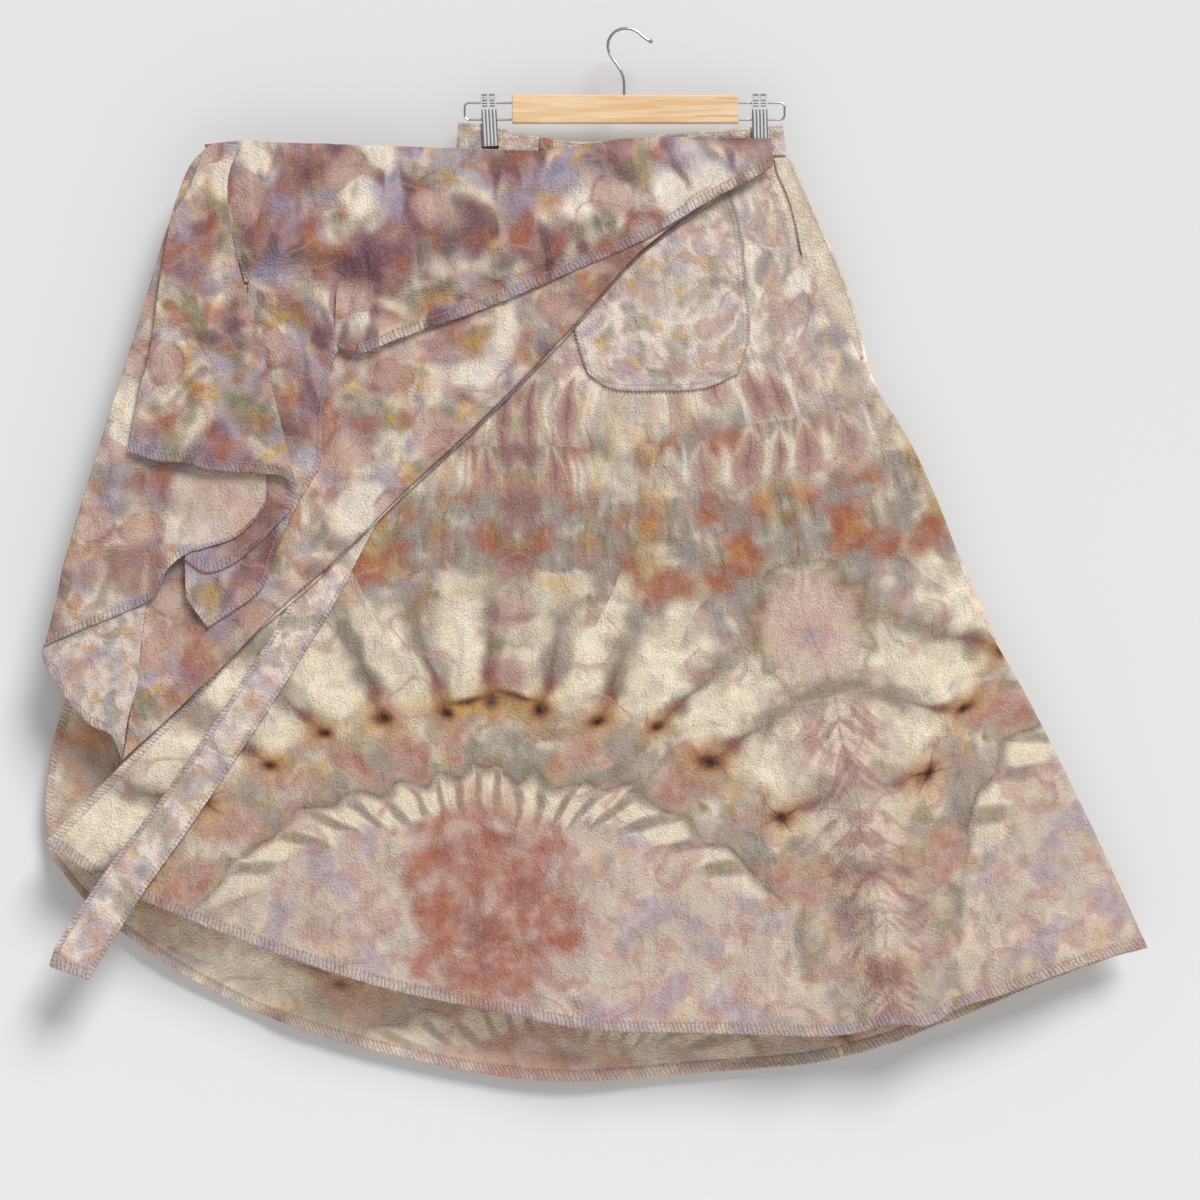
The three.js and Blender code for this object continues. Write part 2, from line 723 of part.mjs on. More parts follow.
const barWide = BAR_RIGHT - BAR_LEFT;
const barHigh = BAR_BOTTOM - BAR_TOP;
const barMiddleX = (BAR_LEFT + BAR_RIGHT) / 2;
const barMiddleZ = -(BAR_TOP + BAR_BOTTOM) / 2;
const barFace = new THREE.Shape();
barFace.moveTo(-barWide / 2 + BAR_EDGE, -barHigh / 2 + BAR_EDGE);
barFace.lineTo(barWide / 2 - BAR_EDGE, -barHigh / 2 + BAR_EDGE);
barFace.lineTo(barWide / 2 - BAR_EDGE, barHigh / 2 - BAR_EDGE);
barFace.lineTo(-barWide / 2 + BAR_EDGE, barHigh / 2 - BAR_EDGE);
barFace.closePath();
const barBlank = new THREE.ExtrudeGeometry(barFace, {
  depth: BAR_DEPTH - 2 * BAR_EDGE,
  bevelEnabled: true,
  bevelThickness: BAR_EDGE,
  bevelSize: BAR_EDGE,
  bevelSegments: 2,
});
barBlank.translate(0, 0, -(BAR_DEPTH - 2 * BAR_EDGE) / 2);
barBlank.rotateX(Math.PI / 2);
barBlank.translate(barMiddleX, 0, barMiddleZ);

/** A groove from the back of the bar, deep enough for one side of the wire loop. */
function groove(drop) {
  const front = -LOOP_WIRE - 0.35;
  const back = BAR_DEPTH / 2 + 1;
  return solid(block(barMiddleX, (front + back) / 2, -drop, barWide + 10, back - front, 2 * (LOOP_WIRE + 0.35)));
}
const hookHole = solid(
  new THREE.CylinderGeometry(HOOK_WIRE + 0.3, HOOK_WIRE + 0.3, 8, 16)
    .rotateX(Math.PI / 2)
    .translate(-3, 0, -(BAR_TOP + 0.7)),
);
const bar = solid(barBlank).subtract(groove(LOOP_TOP)).subtract(groove(LOOP_BOTTOM)).subtract(hookHole);
add("hanger_bar", geometryOf(bar), 0xe0b27c, 0.55);

// ---------------------------------------------------------------- clips

/** One steel jaw: a plate with a grip at its foot, pressed ribs and punched slots. side is -1 in front. */
function jaw(middleX, side, lean) {
  const high = CLIP_BOTTOM - CLIP_TOP;
  const out = CLIP_INSIDE + CLIP_STEEL;
  const profile = new THREE.Shape();
  profile.moveTo(CLIP_INSIDE + 0.9, 0);
  profile.lineTo(out + 0.9, 0);
  profile.lineTo(out, -7);
  profile.lineTo(out, -high + 1);
  profile.lineTo(out - 0.8, -high);
  profile.lineTo(CLIP_GRIP, -high);
  profile.lineTo(CLIP_GRIP, -high + CLIP_LIP);
  profile.lineTo(CLIP_INSIDE, -high + CLIP_LIP + 1.5);
  profile.lineTo(CLIP_INSIDE, -7);
  profile.closePath();
  // The profile lies in (depth, height); it is swept across the width of the clip.
  const plate = new THREE.ExtrudeGeometry(profile, { depth: CLIP_WIDTH, bevelEnabled: false });
  plate.translate(0, 0, -CLIP_WIDTH / 2);
  plate.applyMatrix4(new THREE.Matrix4().makeBasis(
    new THREE.Vector3(0, side, 0),
    new THREE.Vector3(0, 0, 1),
    new THREE.Vector3(side, 0, 0),
  ));
  let body = solid(plate);
  for (let i = 0; i < 4; i += 1) {
    const x = (i - 1.5) * 3.7;
    body = body.add(solid(block(x, side * (out + 0.15), -(high + 17) / 2, 1.5, 0.9, high - 24)));
  }
  for (let row = 0; row < 4; row += 1) {
    for (const x of [-3.9, 3.9]) {
      body = body.subtract(solid(block(x, side * out, -4.6 - row * 2.9, 5, 6, 1.3)));
    }
  }
  const placed = geometryOf(body);
  placed.rotateY(lean);
  placed.translate(middleX, 0, -CLIP_TOP);
  return placed;
}

/** The folded steel saddle between the jaws, with the two holes that the wire loop slides in. */
function saddle(middleX, lean) {
  const high = LOOP_BOTTOM - LOOP_TOP + 5.4;
  const inside = CLIP_INSIDE - 0.3;
  const body = block(0, 0, 0, CLIP_WIDTH - 3, 2 * inside, high);
  body.rotateY(lean);
  body.translate(middleX, 0, -(LOOP_TOP + LOOP_BOTTOM) / 2);
  const bore = LOOP_WIRE + 0.3;
  return geometryOf(
    solid(body)
      .subtract(solid(rodAlongX(middleX, 0, -LOOP_TOP, bore, 40)))
      .subtract(solid(rodAlongX(middleX, 0, -LOOP_BOTTOM, bore, 40))),
  );
}

const CLIPS = table("x lean", [
  [-146.4, -0.055],
  [139.4, -0.02],
]);
["left", "right"].forEach((side, i) => {
  const clip = CLIPS[i];
  add("clip_" + side + "_front_jaw", jaw(clip.x, -1, clip.lean), 0xb4b6b8, 0.28, 1);
  add("clip_" + side + "_back_jaw", jaw(clip.x, 1, clip.lean), 0xb4b6b8, 0.28, 1);
  add("clip_" + side + "_saddle", saddle(clip.x, clip.lean), 0x8e9092, 0.35, 1);
});

export default skirt;
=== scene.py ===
"""A tie-dyed cotton wrap skirt on a wooden clip hanger, dressed over its CAD frame.

The cloth is rebuilt as thin shells on the frame's own stretches, with hems, stitching and creases.
Tables are in millimetres, x to the right and drop downwards from the hook's resting point.
"""

import logging
import math
from dataclasses import dataclass, field, replace
from enum import Enum
from functools import partial
from typing import Callable, Sequence, Union

import bpy
import numpy as np
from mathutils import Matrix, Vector

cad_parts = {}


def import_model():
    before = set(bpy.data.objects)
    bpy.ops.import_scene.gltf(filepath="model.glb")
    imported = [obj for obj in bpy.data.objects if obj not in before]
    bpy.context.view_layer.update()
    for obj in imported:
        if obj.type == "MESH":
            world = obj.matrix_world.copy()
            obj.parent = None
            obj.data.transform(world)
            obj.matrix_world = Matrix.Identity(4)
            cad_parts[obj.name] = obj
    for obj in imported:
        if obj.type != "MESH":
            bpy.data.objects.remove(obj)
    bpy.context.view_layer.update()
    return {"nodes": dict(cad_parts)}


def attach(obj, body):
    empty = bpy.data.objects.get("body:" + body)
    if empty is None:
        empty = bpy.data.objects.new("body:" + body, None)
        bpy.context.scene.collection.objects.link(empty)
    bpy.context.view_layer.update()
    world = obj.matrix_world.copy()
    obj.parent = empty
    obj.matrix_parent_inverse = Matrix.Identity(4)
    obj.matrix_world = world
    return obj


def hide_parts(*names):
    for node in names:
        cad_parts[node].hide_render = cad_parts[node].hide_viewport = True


LOG = logging.getLogger("wrap_skirt")
MM = 0.001
Rows = Sequence[Sequence[float]]
Array = np.ndarray
Socket = bpy.types.NodeSocket
Piece = bpy.types.Object
Material = bpy.types.Material
Value = Union[float, int, Socket]
Vec3 = tuple[float, float, float]
Colour = tuple[float, float, float, float]

# ------------------------------------------------------------------ sizes of the skirt (mm)

CLOTH = 0.9
LAYER = 2.1
SEAM_DEPTH = 0.95
# How far the stretches of the wrap stand off the front panel.
BODY_EDGE_LIFT, BODY_LIFT, BODY_MIDDLE_LIFT = 6.7, 9.0, 7.0
TURNED_LIFT = 9.3
FALL_LIFT, FALL_LOW_LIFT = 9.2, 16.2
LEFT_LIFT = 11.5
DRAPE_TOP_LIFT, DRAPE_LIFT, DRAPE_LEFT_LIFT = 4.4, 12.2, 15.8
FLAP_TOP_LIFT, FLAP_LIFT = 18.0, 20.8
STRIP_END = 350.0
FULLNESS_REACH = 220.0
FULLNESS: Rows = ((140, 0.05), (250, 3.5), (500, 10.0), (800, 19.0), (1000, 24.0), (1110, 26.0))
SIDE_SEAM: Rows = (
    (120, 160), (194, 197), (283, 235), (378, 264), (519, 335), (648, 392), (837, 487), (966, 545),
)

# Edges: a row (x, drop) for each point where the edge turns.
WAIST_EDGE = {
    "top": (
        (-178, 97.4), (-146, 100), (-112, 109), (-81, 115), (-39, 118), (3, 114), (66, 108), (129, 103), (164, 99),
    ),
    "bottom": ((-180, 134), (-112, 141), (-39, 147), (66, 138), (168, 132)),
    "left": ((-178, 97.4), (-180, 134)),
    "right": ((164, 99), (168, 132)),
}
BACK_EDGE = {
    "top": ((-178, 128), (-112, 135), (-39, 141), (66, 133), (167, 128)),
    "bottom": (
        (-611, 871), (-571, 921), (-495, 981), (-405, 1032), (-293, 1071), (-160, 1101),
        (-66, 1110), (85, 1101), (214, 1088), (310, 1060), (437, 1006), (542, 965),
    ),
    "left": ((-178, 128), (-312, 312), (-459, 516), (-589, 697), (-615, 810), (-611, 871)),
    "right": ((167, 128), (197, 194), (235, 283), (264, 378), (335, 519), (392, 648), (487, 837), (542, 965)),
}
FRONT_EDGE = {
    "top": ((-156, 131), (-112, 135), (-39, 141), (66, 134), (151, 129)),
    "bottom": (
        (-609, 854), (-553, 892), (-465, 932), (-343, 978), (-238, 1010), (-154, 1027), (-39, 1049), (77, 1053),
        (231, 1055), (276, 1043), (315, 1044), (346, 1028), (400, 1011), (484, 982), (548, 966),
    ),
    "left": ((-156, 131), (-249, 338), (-354, 537), (-439, 680), (-505, 749), (-609, 854)),
    "right": (
        (151, 129), (152, 146), (155, 170), (164, 196), (176, 226), (192, 252), (232, 320),
        (259, 372), (297, 432), (335, 516), (366, 603), (424, 708), (487, 834), (548, 966),
    ),
}
STRIP_EDGE = {
    "top": ((155, 135), (172, 134.5)),
    "bottom": ((240, 344), (250, 346)),
    "left": (
        (155, 135), (158, 150), (168, 172), (176, 198), (181, 222), (188, 252), (206, 284), (226, 320), (240, 344),
    ),
    "right": ((172, 134.5), (180, 153), (198, 194), (219, 239), (236, 283), (246, 322), (250, 346)),
}
POCKET_EDGE = {
    "top": ((-37, 232), (101, 161)),
    "bottom": ((-41, 363), (-18, 378), (35, 381), (82, 378), (117, 363)),
    "left": ((-37, 232), (-57, 290), (-51, 333), (-41, 363)),
    "right": ((101, 161), (116, 196), (124, 264), (128, 322), (117, 363)),
}
TIE_EDGE = {
    "top": ((-282, 477), (-247, 495)),
    "bottom": ((-603, 983), (-564, 997)),
    "left": ((-282, 477), (-334, 569), (-370, 634), (-408, 694), (-485, 806), (-550, 892), (-597, 965), (-603, 983)),
    "right": (
        (-247, 495), (-267, 528), (-300, 591), (-337, 653), (-396, 745),
        (-465, 848), (-505, 904), (-547, 970), (-564, 997),
    ),
}
LEG_EDGE = {
    "top": ((-173, 128), (-112, 136), (-39, 143), (66, 134), (117, 129)),
    "bottom": ((-433, 516), (-406, 579), (-383, 630)),
    "left": ((-173, 128), (-312, 319), (-433, 516)),
    "right": ((117, 129), (106, 166), (14, 239), (-60, 321), (-154, 417), (-238, 495), (-333, 588), (-383, 630)),
}
BODY_EDGE = {
    "top": ((-419, 138), (-238, 136), (-70, 141), (77, 151), (110, 162)),
    "bottom": ((-528, 768), (-485, 729), (-443, 689), (-421, 668)),
    "left": ((-419, 138), (-443, 317), (-480, 495), (-505, 600), (-511, 663), (-522, 729), (-528, 768)),
    "right": ((110, 162), (14, 235), (-60, 317), (-154, 413), (-238, 491), (-298, 552), (-366, 611), (-421, 668)),
}
# Sections of the upper drape: top x, top drop, low x, low drop.
DRAPE_SECTIONS: Rows = (
    (-443, 123, -402, 268), (-400, 119, -372, 266), (-362, 121, -340, 263), (-333, 122, -308, 261),
    (-315, 122, -291, 272), (-303, 123, -294, 293), (-296, 123, -306, 330), (-280, 124, -283, 342),
    (-238, 124, -239, 326), (-154, 126, -154, 296), (-83, 127, -72, 262), (1, 115, 18, 222),
    (71, 114, 78, 186), (122, 115, 128, 159), (152, 115, 153, 145),
)
DRAPE_TURN: Rows = ((-402, 268), (-372, 266), (-340, 263), (-308, 261), (-291, 272), (-294, 293), (-306, 330))
FALL_EDGE = {
    "top": ((-396, 258), (-343, 254), (-306, 254), (-282, 268)),
    "bottom": ((-461, 597), (-450, 613), (-438, 629)),
    "left": ((-396, 258), (-406, 327), (-433, 422), (-457, 516), (-462, 555), (-461, 597)),
    "right": (
        (-282, 268), (-289, 304), (-302, 338), (-311, 355), (-320, 419), (-322, 455),
        (-348, 504), (-369, 551), (-383, 588), (-438, 629),
    ),
}
CURL_EDGE = {
    "top": ((-434, 456), (-383, 460), (-348, 477)),
    "bottom": ((-462, 558), (-442, 571), (-421, 567), (-390, 546), (-369, 525)),
    "left": ((-434, 456), (-453, 511), (-462, 558)),
    "right": ((-348, 477), (-350, 501), (-369, 525)),
}
FLAP_EDGE = {
    "top": ((-443, 128), (-432, 122), (-406, 124)),
    "bottom": ((-522, 445), (-490, 455), (-462, 457), (-436, 464), (-380, 468), (-360, 471), (-345, 482)),
    "left": ((-443, 128), (-459, 170), (-476, 201), (-487, 254), (-499, 338), (-512, 390), (-522, 445)),
    "right": (
        (-406, 124), (-418, 159), (-415, 210), (-406, 252), (-390, 305), (-375, 364), (-360, 423), (-345, 482),
    ),
}
LEFT_EDGE = {
    "top": ((-444, 128), (-419, 134)),
    "bottom": (
        (-609, 648), (-568, 630), (-524, 612), (-495, 597), (-479, 567), (-462, 553),
        (-414, 537), (-396, 524), (-378, 499), (-377, 481),
    ),
    "left": ((-444, 128), (-459, 145), (-483, 213), (-510, 303), (-544, 411), (-589, 561), (-597, 600), (-609, 648)),
    "right": ((-419, 134), (-406, 285), (-383, 411), (-377, 481)),
}
TURNED_EDGE = {
    "top": ((-604, 634), (-553, 608), (-501, 588)),
    "bottom": ((-611, 663), (-591, 697), (-561, 731), (-540, 741), (-528, 767)),
    "left": ((-604, 634), (-612, 653), (-611, 663)),
    "right": ((-501, 588), (-509, 649), (-512, 687), (-522, 725), (-528, 767)),
}

# Folds: start x, start drop, end x, end drop, half-width, height towards the viewer.
BACK_FOLDS: Rows = (
    (229, 916, 229, 1090, 13, -9), (318, 894, 320, 1063, 17, -9), (0, 600, -60, 1100, 70, 5),
    (-300, 600, -420, 1020, 60, -5), (150, 500, 200, 1080, 45, 4),
)
FRONT_FOLDS: Rows = (
    (224, 706, 292, 1042, 32, 9), (182, 727, 234, 1052, 22, -5), (14, 412, -28, 1047, 60, 4),
    (-154, 475, -312, 979, 45, 4), (98, 412, 113, 1052, 50, -3), (350, 622, 455, 979, 35, 4),
    (-396, 661, -511, 790, 13, 4),
)
FRONT_CREASES: Rows = (
    (60, 560, 30, 900, 16, 1.2), (-60, 640, -130, 960, 18, 1.2), (170, 380, 235, 640, 14, 1.4),
    (240, 480, 330, 760, 15, 1.5), (300, 560, 400, 900, 14, 1.6), (-250, 700, -380, 900, 14, 1.3),
    (110, 620, 150, 930, 12, -1.2), (330, 800, 380, 1000, 13, -1.6), (200, 260, 250, 430, 10, 1.2),
    (-20, 900, -30, 1050, 14, 1.6), (60, 900, 75, 1055, 12, 1.4), (-170, 880, -205, 1020, 15, -1.4),
)
BACK_CREASES: Rows = (
    (-100, 260, -230, 700, 16, -1.5), (60, 240, 90, 720, 18, -1.5), (-40, 500, -90, 1000, 16, 1.4),
    (160, 420, 330, 900, 16, -1.6), (-260, 500, -420, 900, 18, -1.6), (20, 760, 40, 1090, 13, -1.6),
)
BODY_FOLDS: Rows = (
    (-312, 545, -450, 690, 11, 3), (-350, 530, -500, 705, 13, 4), (-380, 470, -480, 640, 18, 1.5),
)
BODY_CREASES: Rows = (
    (-40, 240, -240, 430, 20, 1.0), (-120, 330, -330, 540, 12, 1.0), (-220, 420, -400, 620, 9, 1.2),
    (-290, 380, -400, 520, 12, -1.0), (60, 170, -90, 290, 10, 0.8),
)
DRAPE_FOLDS: Rows = (
    (-400, 232, -290, 236, 15, 5), (-290, 244, -180, 262, 15, 6), (-180, 262, -72, 232, 14, 5),
    (-300, 205, -120, 186, 34, 3), (-285, 296, -150, 286, 13, -3.5), (-60, 222, 90, 168, 11, 2.5),
)
DRAPE_CREASES: Rows = (
    (120, 128, -120, 165, 9, 1.4), (110, 140, -100, 215, 9, 1.3), (60, 160, -160, 245, 7, 1.0),
    (-60, 232, -150, 272, 5, 1.6), (-250, 300, -130, 292, 12, -1.2), (-395, 150, -392, 255, 6, 1.6),
    (-300, 262, -255, 276, 4, 1.8), (-300, 285, -280, 330, 6, -1.6), (-380, 180, -250, 172, 12, 1.0),
)
FALL_FOLDS: Rows = ((-345, 300, -395, 540, 14, 1.5),)
FALL_CREASES: Rows = (
    (-300, 300, -318, 470, 5, 1.3), (-370, 300, -420, 540, 8, 1.0), (-345, 470, -420, 610, 6, 1.0),
)
FLAP_FOLDS: Rows = ((-452, 250, -440, 450, 30, 5), (-428, 170, -400, 330, 10, 3))
FLAP_CREASES: Rows = (
    (-440, 140, -470, 260, 7, 1.6), (-425, 135, -432, 260, 5, -1.2), (-470, 230, -495, 430, 9, 1.4),
    (-425, 260, -415, 455, 8, -1.2), (-400, 300, -372, 470, 6, 1.4),
)
LEFT_FOLDS: Rows = ((-490, 300, -560, 600, 16, 4), (-450, 330, -500, 580, 14, -2))
LEFT_CREASES: Rows = (
    (-470, 180, -500, 330, 8, 1.4), (-520, 400, -570, 610, 8, 1.4), (-480, 470, -520, 600, 6, -1.3),
    (-392, 478, -440, 530, 8, -1.4),
)
TURNED_CREASES: Rows = ((-540, 610, -565, 700, 10, 1.6), (-520, 600, -535, 740, 5, 1.2))
TIE_CREASES: Rows = (
    (-300, 560, -420, 760, 6, 0.5), (-360, 620, -470, 800, 7, -0.5), (-480, 830, -570, 960, 7, 0.6),
)
POCKET_CREASES: Rows = (
    (-24, 282, 18, 330, 2.6, 1.1), (60, 210, 70, 370, 14, 0.5), (-30, 350, 60, 366, 5, 0.5),
)


# ------------------------------------------------------------------ helpers for form

def smoother(t: Array) -> Array:
    """Smooth step of the fifth order.

    Args:
        t: Values, clamped to 0..1.

    Returns:
        The eased values.
    """
    t = np.clip(t, 0.0, 1.0)
    return t * t * t * (t * (t * 6 - 15) + 10)


def eased(start: Value, end: Value, t: Array) -> Array:
    """Runs smoothly from start where t is 0 to end where t is 1.

    Args:
        start: First value.
        end: Last value.
        t: Values, clamped to 0..1.

    Returns:
        The values between.
    """
    return start + (end - start) * smoother(t)


def read_table(rows: Rows, at: Array) -> Array:
    """Reads the second column of a table by its first.

    Args:
        rows: Rows whose first column rises.
        at: Where to read.

    Returns:
        The values between the rows.
    """
    table = np.array(rows)
    return np.interp(at, table[:, 0], table[:, 1])


def ridge_height(folds: Rows, x: Array, drop: Array) -> Array:
    """Height that a table of soft ridges gives.

    Args:
        folds: Rows of start x, start drop, end x, end drop, half-width, height.
        x: Points across.
        drop: Points downwards.

    Returns:
        Height towards the viewer in millimetres.
    """
    total = np.zeros_like(x)
    for x0, d0, x1, d1, width, height in folds:
        dx, dd = x1 - x0, d1 - d0
        held = np.clip(((x - x0) * dx + (drop - d0) * dd) / (dx * dx + dd * dd), 0, 1)
        away = np.hypot(x - x0 - held * dx, drop - d0 - held * dd)
        total += height * smoother(held * 2.5) * np.exp(-((away / width) ** 2))
    return total


def crease_height(folds: Rows, x: Array, drop: Array) -> Array:
    """Height of creases, which fade at both ends and are sharper on one side.

    Args:
        folds: Rows of start x, start drop, end x, end drop, half-width, height.
        x: Points across.
        drop: Points downwards.

    Returns:
        Height towards the viewer in millimetres.
    """
    total = np.zeros_like(x)
    for x0, d0, x1, d1, width, height in folds:
        dx, dd = x1 - x0, d1 - d0
        long = math.hypot(dx, dd)
        along = ((x - x0) * dx + (drop - d0) * dd) / (long * long)
        side = ((x - x0) * dd - (drop - d0) * dx) / long
        side = side + 0.12 * long * 0.25 * np.sin(along * 5.0 + x0)
        spread = np.where(side > 0, width * 0.7, width * 1.3)
        ends = smoother(along * 3 + 0.5) * smoother((1 - along) * 3 + 0.5)
        total += height * ends * np.exp(-((side / spread) ** 2))
    return total


def lattice(ix: Array, iy: Array, seed: int) -> Array:
    """A fixed random value for each cell of a grid.

    Args:
        ix: Whole numbers across.
        iy: Whole numbers down.
        seed: Which random field.

    Returns:
        Values from -1 to 1.
    """
    h = np.sin(ix * 127.1 + iy * 311.7 + seed * 74.7) * 43758.5453
    return (h - np.floor(h)) * 2 - 1


def ripple(x: Array, y: Array, seed: int) -> Array:
    """Smooth value noise with a cell of one unit.

    Args:
        x: First coordinate.
        y: Second coordinate.
        seed: Which random field.

    Returns:
        Values about -1 to 1.
    """
    ix, iy = np.floor(x), np.floor(y)
    fx, fy = smoother(x - ix), smoother(y - iy)
    top = lattice(ix, iy, seed) * (1 - fx) + lattice(ix + 1, iy, seed) * fx
    low = lattice(ix, iy + 1, seed) * (1 - fx) + lattice(ix + 1, iy + 1, seed) * fx
    return top * (1 - fy) + low * fy


def spread_of(x: Array, drop: Array) -> Array:
    """Distance of front and back from the skirt's middle plane.

    Args:
        x: Points across.
        drop: Points downwards.

    Returns:
        Millimetres.
    """
    full = np.sin(np.pi / 2 * np.clip((read_table(SIDE_SEAM, drop) - x) / FULLNESS_REACH, 0, 1))
    return eased(LAYER, SEAM_DEPTH, (drop - STRIP_END) / 120) + read_table(FULLNESS, drop) * full


def free_of_seam(x: Array, drop: Array) -> Array:
    """How free of the side seam the cloth is, from 0 to 1.

    Args:
        x: Points across.
        drop: Points downwards.

    Returns:
        Values from 0 to 1.
    """
    return smoother((read_table(SIDE_SEAM, drop) - x) / 60)


def front_y(x: Array, drop: Array) -> Array:
    """Depth of the front panel, with its folds and soft creases."""
    free = free_of_seam(x, drop)
    soft = 0.55 * ripple(x / 42, drop / 130, 3) + 0.3 * ripple(x / 19, drop / 45, 5)
    fine = crease_height(FRONT_CREASES, x, drop) + soft * smoother((drop - 260) / 200)
    return -spread_of(x, drop) - (ridge_height(FRONT_FOLDS, x, drop) + fine) * free


def back_y(x: Array, drop: Array) -> Array:
    """Depth of the back panel, with its folds and soft creases."""
    free = free_of_seam(x, drop)
    soft = 0.6 * ripple(x / 45, drop / 120, 13) + 0.3 * ripple(x / 20, drop / 50, 15)
    fine = crease_height(BACK_CREASES, x, drop) - soft * smoother((drop - 260) / 200)
    return spread_of(x, drop) - (ridge_height(BACK_FOLDS, x, drop) + fine) * free


class EdgeLine:
    """A smooth line through the rows of an edge, read by its length or by its rows."""

    def __init__(self, rows: Rows) -> None:
        """Samples the line.

        Args:
            rows: Points x, drop.
        """
        points = np.array(rows, float)
        ends = np.vstack([2 * points[0] - points[1], points, 2 * points[-1] - points[-2]])
        dense, keys = [], []
        for i in range(len(points) - 1):
            p0, p1, p2, p3 = ends[i : i + 4]
            k = [0.0]
            for a, b in ((p0, p1), (p1, p2), (p2, p3)):
                k.append(k[-1] + max(math.hypot(*(b - a)) ** 0.5, 1e-6))
            steps = np.linspace(0, 1, 33)[:-1] if i < len(points) - 2 else np.linspace(0, 1, 33)
            t = (k[1] + (k[2] - k[1]) * steps)[:, None]
            a1, a2, a3 = (self._between(t, k[j], k[j + 1], *ends[i + j : i + j + 2]) for j in range(3))
            b1, b2 = self._between(t, k[0], k[2], a1, a2), self._between(t, k[1], k[3], a2, a3)
            dense.append(self._between(t, k[1], k[2], b1, b2))
            keys.append((i + steps) / (len(points) - 1))
        self.dense, self.keys = np.vstack(dense), np.concatenate(keys)
        steps = np.hypot(*np.diff(self.dense, axis=0).T)
        self.lengths = np.concatenate([[0], np.cumsum(steps)])

    @staticmethod
    def _between(t: Array, low: float, high: float, first: Array, last: Array) -> Array:
        """Runs evenly from the first value where t is low to the last where it is high."""
        return (high - t) / (high - low) * first + (t - low) / (high - low) * last

    def by_length(self, t: Array) -> Array:
        """Points at shares of the length.

        Args:
            t: Shares from 0 to 1, slightly outside too.

        Returns:
            Array of points, last axis x and drop.
        """
        return self._read(t * self.lengths[-1], self.lengths)

    def by_row(self, t: Array) -> Array:
        """Points at shares of the row numbers.

        Args:
            t: Shares from 0 to 1, slightly outside too.

        Returns:
            Array of points, last axis x and drop.
        """
        return self._read(t, self.keys)

    def _read(self, at: Array, keys: Array) -> Array:
        """Points where the keys reach the given values, run on straight past both ends."""
        held = np.clip(at, keys[0], keys[-1])
        x = np.interp(held, keys, self.dense[:, 0])
        d = np.interp(held, keys, self.dense[:, 1])
        start = (self.dense[1] - self.dense[0]) / (keys[1] - keys[0])
        end = (self.dense[-1] - self.dense[-2]) / (keys[-1] - keys[-2])
        over = np.where(at < keys[0], at - keys[0], 0), np.where(at > keys[-1], at - keys[-1], 0)
        x = x + over[0] * start[0] + over[1] * end[0]
        d = d + over[0] * start[1] + over[1] * end[1]
        return np.stack([x, d], -1)


Place = Callable[[Array, Array], Array]


def coons(edge: dict[str, Rows]) -> Place:
    """The surface between four edges.

    Args:
        edge: Rows of the top, bottom, left and right edges.

    Returns:
        A function of (u, v) giving points x, drop.
    """
    top, bottom, left, right = (EdgeLine(edge[k]) for k in ("top", "bottom", "left", "right"))
    tl, tr, bl, br = (np.array(edge[k][i], float) for k, i in (("top", 0), ("top", -1), ("bottom", 0), ("bottom", -1)))

    def place(u: Array, v: Array) -> Array:
        """Points of the surface."""
        uu, vv = u[..., None], v[..., None]
        down = top.by_length(u) * (1 - vv) + bottom.by_length(u) * vv
        across = left.by_length(v) * (1 - uu) + right.by_length(v) * uu
        corners = (tl * (1 - uu) + tr * uu) * (1 - vv) + (bl * (1 - uu) + br * uu) * vv
        return down + across - corners

    return place


def ruled(sections: Rows) -> Place:
    """The surface ruled through sections running down the cloth.

    Args:
        sections: Rows of top x, top drop, low x, low drop.

    Returns:
        A function of (u, v) giving points x, drop.
    """
    table = np.array(sections, float)
    top, low = EdgeLine(table[:, :2]), EdgeLine(table[:, 2:])

    def place(u: Array, v: Array) -> Array:
        """Points of the surface."""
        vv = v[..., None]
        return top.by_row(u) * (1 - vv) + low.by_row(u) * vv

    return place


def edge_distance(rows: Rows, x: Array, drop: Array) -> Array:
    """Distance to an edge line in the hanging plane.

    Args:
        rows: Points of the edge.
        x: Points across.
        drop: Points downwards.

    Returns:
        Millimetres.
    """
    best = np.full_like(x, 1e9)
    for a, b in zip(rows[:-1], rows[1:]):
        dx, dd = b[0] - a[0], b[1] - a[1]
        t = np.clip(((x - a[0]) * dx + (drop - a[1]) * dd) / (dx * dx + dd * dd), 0, 1)
        best = np.minimum(best, np.hypot(x - a[0] - t * dx, drop - a[1] - t * dd))
    return best


def rolled(distance: Array, radius: float) -> Array:
    """How far a rolled edge has turned back.

    Args:
        distance: Distance from the edge.
        radius: Radius of the roll.

    Returns:
        Millimetres towards the wall.
    """
    inside = np.clip(radius - np.maximum(distance, 0), 0, radius)
    return radius - np.sqrt(radius**2 - inside**2)


# ------------------------------------------------------------------ depth of each stretch

Depth = Callable[[Array, Array, Array, Array], Array]


def waist_y(u: Array, v: Array, x: Array, drop: Array) -> Array:
    """The waistband, flat in the clips with a little slack between them."""
    return 0.35 * ripple(x / 26, drop / 40, 31) * smoother((x + 140) / 60) * smoother((120 - x) / 60)


def strip_y(u: Array, v: Array, x: Array, drop: Array) -> Array:
    """The side strip between front and back."""
    return 0.25 * ripple(x / 14, drop / 30, 33)


def pocket_y(u: Array, v: Array, x: Array, drop: Array) -> Array:
    """The pocket, lying on the front panel with a soft fullness."""
    inner = smoother(u * 6) * smoother((1 - u) * 6) * smoother((1 - v) * 6)
    soft = 0.5 + crease_height(POCKET_CREASES, x, drop) + 0.25 * ripple(x / 16, drop / 22, 35)
    return front_y(x, drop) - LAYER * 0.8 - soft * inner


